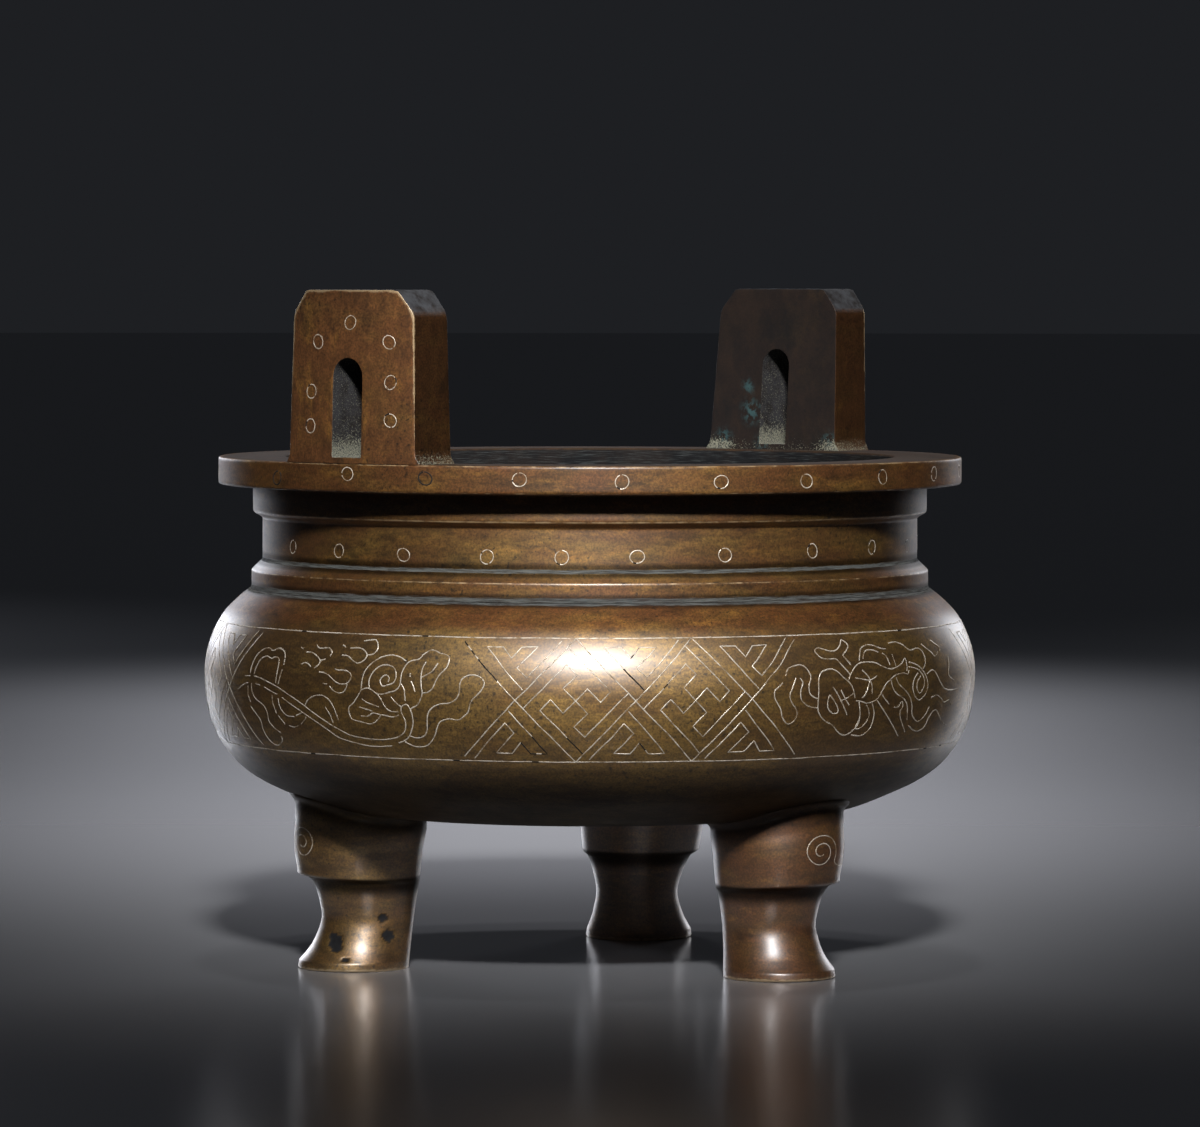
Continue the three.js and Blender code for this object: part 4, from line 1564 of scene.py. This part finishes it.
@dataclass(frozen=True)
class Bronze:
    """The patinated bronze of a piece, with bare worn edges, dust, soot and painted shade on undersides and
    in shaded places.
    """

    name: str
    bare: Colour = (0.66, 0.48, 0.27)
    slate: Colour = (0.055, 0.056, 0.060)
    dust: Colour = (0.30, 0.29, 0.21)
    soot: Colour = (0.006, 0.006, 0.0065)
    smoked: Colour = (0.013, 0.0095, 0.008)
    verdigris: Colour = (0.030, 0.080, 0.085)
    turned: float = 0.35
    polish: float = 0.39
    # How dark the painted shade makes the colour at its full strength
    painted_shade_level: float = 0.13
    dust_scale: float = 3400.0
    dust_level: float = 1.0
    dust_breakup: float = 1.7
    dust_cover: float = 0.9
    stretch: float = 0.0
    gloss: float = 0.36
    coat: float = 1.9
    matt: float = 0.0
    grain: float = 0.4
    drawn: Place = (1.0, 1.0, 3.6)

    def material(self, groups: dict[str, bpy.types.NodeTree]) -> bpy.types.Material:
        """Builds the material from the shared groups."""
        material, tree, shader = new_material(self.name)
        place = tree.node("ShaderNodeTexCoord").outputs["Object"]
        marks = {
            name: tree.node("ShaderNodeAttribute", attribute_name=name).outputs["Fac"] for name in MARKS
        }
        patina = tree.group(groups["patina"], {"Vector": place, "Drawn": self.drawn, "Tint": marks["tint"]})
        broken = groups["broken_mask"]
        settings = {"Vector": place, "Scale": 500.0, "Breakup": 1.0, "Edge": 0.45, "Level": 1.0}
        wear = tree.group(broken, settings | {"Share": marks["wear"]}).outputs["Mask"]
        settings = {"Vector": place, "Scale": self.dust_scale, "Breakup": self.dust_breakup}
        settings |= {"Share": marks["dust"], "Edge": 0.46, "Level": self.dust_level}
        dust = tree.group(broken, settings).outputs
        covered = tree.times(dust["Mask"], self.dust_cover)
        dull = tree.math("MAXIMUM", covered, tree.math("MAXIMUM", marks["soot"], marks["slate"]))

        # Painted shade: the colour is darkened where the shade mark lies
        shade = tree.spread(marks["shade"], 0, 1, 1.0, self.painted_shade_level)
        colour = tree.mix(1.0, patina.outputs["Color"], shade, "MULTIPLY")
        colour = tree.mix(tree.times(wear, 0.8), colour, self.bare)
        colour = tree.mix(marks["soot"], colour, self._smoky(tree, place, marks["green"]))
        clouds = tree.spread(tree.noise(place, 420, 5, 0.65), 0.25, 0.65)
        colour = tree.mix(marks["slate"], colour, tree.mix(clouds, self.smoked, self.slate))
        powder = tree.mix(tree.spread(dust["Grain"], 0.36, 0.60), self.slate, self.dust)
        colour = tree.mix(covered, colour, powder)
        tree.feed(shader.inputs["Base Color"], colour)
        tree.feed(shader.inputs["Metallic"], tree.spread(dull, 0, 1, 0.86, 0.1))

        rough = tree.spread(patina.outputs["Cloud"], 0.38, 0.62, self.polish + 0.08, self.polish)
        rough = tree.math("ADD", rough, tree.times(marks["tint"], 0.5))
        rough = tree.math("ADD", rough, tree.times(dull, 0.3), clamp=True)
        tree.feed(shader.inputs["Roughness"], rough)
        self._coat(tree, shader, dull, marks)

        turning = tree.group(groups["turning_marks"], {"Vector": place}).outputs["Height"]
        normal = tree.bump(turning, self.turned, 0.00005, None)
        normal = tree.bump(tree.noise(place, 1900, 4, 0.6), self.grain, 0.00006, normal)
        tree.feed(shader.inputs["Normal"], tree.bump(dust["Mask"], 0.7, 0.00015, normal))
        return material

    def _smoky(self, tree: Tree, place: object, green: object) -> bpy.types.NodeSocket:
        """The colour of soot, with verdigris in patches."""
        smoky = tree.mix(tree.spread(tree.noise(place, 160, 5, 0.6), 0.42, 0.66), self.soot, self.smoked)
        crust = tree.times(tree.spread(tree.noise(place, 900, 5, 0.7), 0.44, 0.56), green)
        return tree.mix(crust, smoky, self.verdigris)

    def _coat(self, tree: Tree, shader: bpy.types.Node, dull: object, marks: dict[str, object]) -> None:
        """Lays the sheen of wax and handling over the polished skin, drawn out along the turning, and thins
        it where dull marks, painted shade or the matt tint lie.
        """
        coatless_or_shaded = tree.math("MAXIMUM", dull, tree.times(marks["shade"], 0.6))
        coatless_or_shaded = tree.math("MAXIMUM", coatless_or_shaded, tree.times(marks["tint"], self.matt))
        tree.feed(shader.inputs["Coat Weight"], tree.spread(coatless_or_shaded, 0.0, 0.7, 1.0, 0.0))
        shader.inputs["Specular IOR Level"].default_value = 0.3
        shader.inputs["Coat Roughness"].default_value = self.gloss
        shader.inputs["Coat IOR"].default_value = self.coat
        if self.stretch:
            shader.inputs["Anisotropic"].default_value = self.stretch
            shader.inputs["Anisotropic Rotation"].default_value = 0.25
            around = tree.node("ShaderNodeTangent", direction_type="RADIAL", axis="Z")
            tree.feed(shader.inputs["Tangent"], around.outputs["Tangent"])


@dataclass(frozen=True)
class WireFinish:
    """Silver wire, or the dark bed of a groove that has lost it."""

    name: str
    colour: Colour
    dull: Colour
    metallic: float
    roughness: float

    def material(self) -> bpy.types.Material:
        """Builds the material, with tarnish that comes and goes along the wire."""
        material, tree, shader = new_material(self.name)
        place = tree.node("ShaderNodeTexCoord").outputs["Object"]
        tarnish = tree.spread(tree.noise(place, 520, 4, 0.65), 0.42, 0.66)
        rough = tree.spread(tarnish, 0.0, 1.0, self.roughness, self.roughness + 0.15)
        tree.feed(shader.inputs["Base Color"], tree.mix(tarnish, self.colour, self.dull))
        tree.feed(shader.inputs["Roughness"], rough)
        shader.inputs["Metallic"].default_value = self.metallic
        return material


# Studio


@dataclass(frozen=True)
class Lamp:
    """A soft rectangular light, placed by compass angle, distance along the floor and height."""

    name: str
    place: Place
    target: Place
    size: Flat
    beam: float
    power: float
    colour: Colour

    def build(self) -> None:
        """Adds the lamp, turned to its target."""
        data = bpy.data.lights.new(self.name, "AREA")
        data.shape = "RECTANGLE"
        data.size, data.size_y = self.size[0] * MM, self.size[1] * MM
        data.spread = math.radians(self.beam)
        data.energy = self.power
        data.color = self.colour
        lamp = linked(self.name, data)
        place, target = polar(*self.place), polar(*self.target)
        lamp.location = place * MM
        lamp.rotation_euler = (target - place).to_track_quat("-Z", "Y").to_euler()
        lamp.visible_camera = False


@dataclass(frozen=True)
class Studio:
    """The photograph's camera, a pale floor and soft lights."""

    view: View
    floor_radius: float = 12.0
    floor_colour: Colour = (0.31, 0.31, 0.32)
    floor_roughness: float = 0.2
    surround_colour: Colour = (0.80, 0.86, 1.0)
    surround_strength: float = 0.016

    LAMPS: ClassVar[tuple[Lamp, ...]] = (
        Lamp(
            "key_light",
            place=(220.0, 1017.0, 708.0),
            target=(221.5, 0.0, 88.0),
            size=(150.0, 150.0),
            beam=10.5,
            power=0.16,
            colour=(0.97, 0.98, 1.0),
        ),
        Lamp(
            "inside_light",
            place=(0.0, 0.0, 700.0),
            target=(30.0, 1.0, 30.0),
            size=(120.0, 120.0),
            beam=9.0,
            power=0.006,
            colour=(0.95, 0.97, 1.0),
        ),
        Lamp(
            "floor_light",
            place=(38.4, 600.0, 900.0),
            target=(38.4, 480.0, 0.0),
            size=(150.0, 600.0),
            beam=26.0,
            power=0.9,
            colour=(0.93, 0.94, 1.0),
        ),
        Lamp(
            "left_card",
            place=(62.0, 1500.0, 280.0),
            target=(0.0, 0.0, 50.0),
            size=(500.0, 400.0),
            beam=60.0,
            power=0.55,
            colour=(0.86, 0.90, 1.0),
        ),
        Lamp(
            "right_card",
            place=(12.0, 1500.0, 300.0),
            target=(0.0, 0.0, 50.0),
            size=(350.0, 450.0),
            beam=60.0,
            power=0.3,
            colour=(0.90, 0.93, 1.0),
        ),
    )

    def build(self) -> None:
        """Places camera, floor, surrounding light and lamps."""
        self.view.build()
        self._floor()
        self._world()
        for lamp in self.LAMPS:
            lamp.build()
        bpy.context.scene.view_settings.view_transform = "Standard"

    def _floor(self) -> None:
        """A large pale disc that the burner stands on."""
        bm = bmesh.new()
        bmesh.ops.create_circle(bm, cap_ends=True, radius=self.floor_radius, segments=96)
        floor = linked("floor", mesh_of("floor", bm))
        material, _, shader = new_material("pale_floor")
        shader.inputs["Base Color"].default_value = (*self.floor_colour, 1)
        shader.inputs["Roughness"].default_value = self.floor_roughness
        floor.data.materials.append(material)
        floor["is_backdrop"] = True

    def _world(self) -> None:
        """A dim, even surrounding light."""
        world = bpy.data.worlds.new("studio")
        world.use_nodes = True
        background = world.node_tree.nodes["Background"]
        background.inputs["Color"].default_value = (*self.surround_colour, 1)
        background.inputs["Strength"].default_value = self.surround_strength
        bpy.context.scene.world = world


def write_sizes(cad_box: Iterable[Iterable[float]]) -> None:
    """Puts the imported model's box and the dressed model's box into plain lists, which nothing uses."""
    plain = [[[float(x) for x in corner] for corner in box] for box in (cad_box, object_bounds())]


# The burner


BOWL_FINISH = Bronze(
    "bronze_bowl",
    slate=(0.035, 0.038, 0.038),
    dust=(0.135, 0.147, 0.142),
    polish=0.53,
    gloss=0.38,
    coat=2.0,
    matt=1.0,
    dust_scale=300.0,
    dust_level=22.0,
    dust_breakup=0.55,
    dust_cover=0.75,
    stretch=0.22,
)
HANDLE_FINISH = Bronze(
    "bronze_handles", turned=0.12, dust_scale=4300.0, dust_breakup=1.9, drawn=(1.7, 1.7, 1.0)
)
LEG_FINISH = Bronze(
    "bronze_legs", turned=0.2, polish=0.43, gloss=0.38, coat=2.2, grain=1.0, drawn=(1.0, 1.0, 3.0)
)
SILVER_FINISH = WireFinish(
    "silver_wire", colour=(0.78, 0.69, 0.57), dull=(0.30, 0.22, 0.14), metallic=0.35, roughness=0.42
)
GROOVE_FINISH = WireFinish(
    "empty_groove", colour=(0.006, 0.005, 0.004), dull=(0.012, 0.009, 0.006), metallic=0.0, roughness=0.8
)
HANDLES = (
    Handle(
        "handle_right_slab",
        "handle_right",
        turn=0.0,
        lean=-0.9,
        half_width=13.6,
        top_half_width=12.6,
        slot_half_width=2.85,
        slot_top=102.9,
    ),
    Handle("handle_left_slab", "handle_left", turn=180.0, lean=0.65),
)
LEG_TURN = -3.4
# The pits in the left foot, as (x, y, half width, half height) in pixels of the photograph
FOOT_PITS = (
    (335.6, 942.0, 7.5, 9.5),
    (388.0, 935.0, 7.0, 7.0),
    (383.0, 918.0, 6.0, 4.0),
    (345.0, 960.0, 4.0, 2.5),
)


def three_legs(bowl: Bowl) -> list[Leg]:
    """The legs, which come from one pattern but were set and filed by hand."""
    return [
        Leg(
            "leg_front_cast",
            "leg_front",
            LEG_TURN - 90,
            bowl,
            foot_inside=32.9,
            lean=0.1,
            sway=0.01,
            waist=0.0,
            tint=0.4,
            scroll=(24.0, 32.0),
        ),
        Leg(
            "leg_back_right_cast",
            "leg_back_right",
            LEG_TURN + 30,
            bowl,
            foot_inside=32.6,
            lean=0.108,
            sway=-0.032,
            waist=0.6,
            tint=0.3,
        ),
        Leg(
            "leg_back_left_cast",
            "leg_back_left",
            LEG_TURN + 150,
            bowl,
            foot_inside=32.4,
            lean=0.122,
            sway=0.0,
            waist=0.0,
            tint=0.15,
            scroll=(-21.0, -34.0),
            pits=FOOT_PITS,
        ),
    ]


def main() -> None:
    """Builds the burner piece by piece, then the studio."""
    logging.basicConfig(level=logging.INFO, format="%(message)s")
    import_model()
    cad_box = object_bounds()
    groups = {
        "patina": Patina().group(),
        "turning_marks": turning_group(),
        "broken_mask": broken_mask_group(),
    }
    bowl, view = Bowl.from_frame(), View()
    bowl.build().data.materials.append(BOWL_FINISH.material(groups))
    slab_finish = HANDLE_FINISH.material(groups)
    for handle in HANDLES:
        handle.build().data.materials.append(slab_finish)
    legs = three_legs(bowl)
    leg_finish = LEG_FINISH.material(groups)
    for leg in legs:
        leg.build(view).data.materials.append(leg_finish)
    finishes = {Filling.SILVER: SILVER_FINISH.material(), Filling.EMPTY: GROOVE_FINISH.material()}
    Frieze(bowl).build(finishes)
    for emblem in (LOTUS, GOURD):
        for side, turn in (("front", 0.0), ("back", 180.0)):
            WireSet(f"{emblem.name}_{side}_silver").lay(emblem.lines(bowl, view, turn), finishes)
    for leg in legs:
        WireSet(leg.node + "_scroll_silver").lay([(Filling.SILVER, leg.scroll_line())], finishes)
    Rings(bowl).build(HANDLES, finishes)
    Studio(view).build()
    write_sizes(cad_box)


if __name__ == "__main__":
    main()
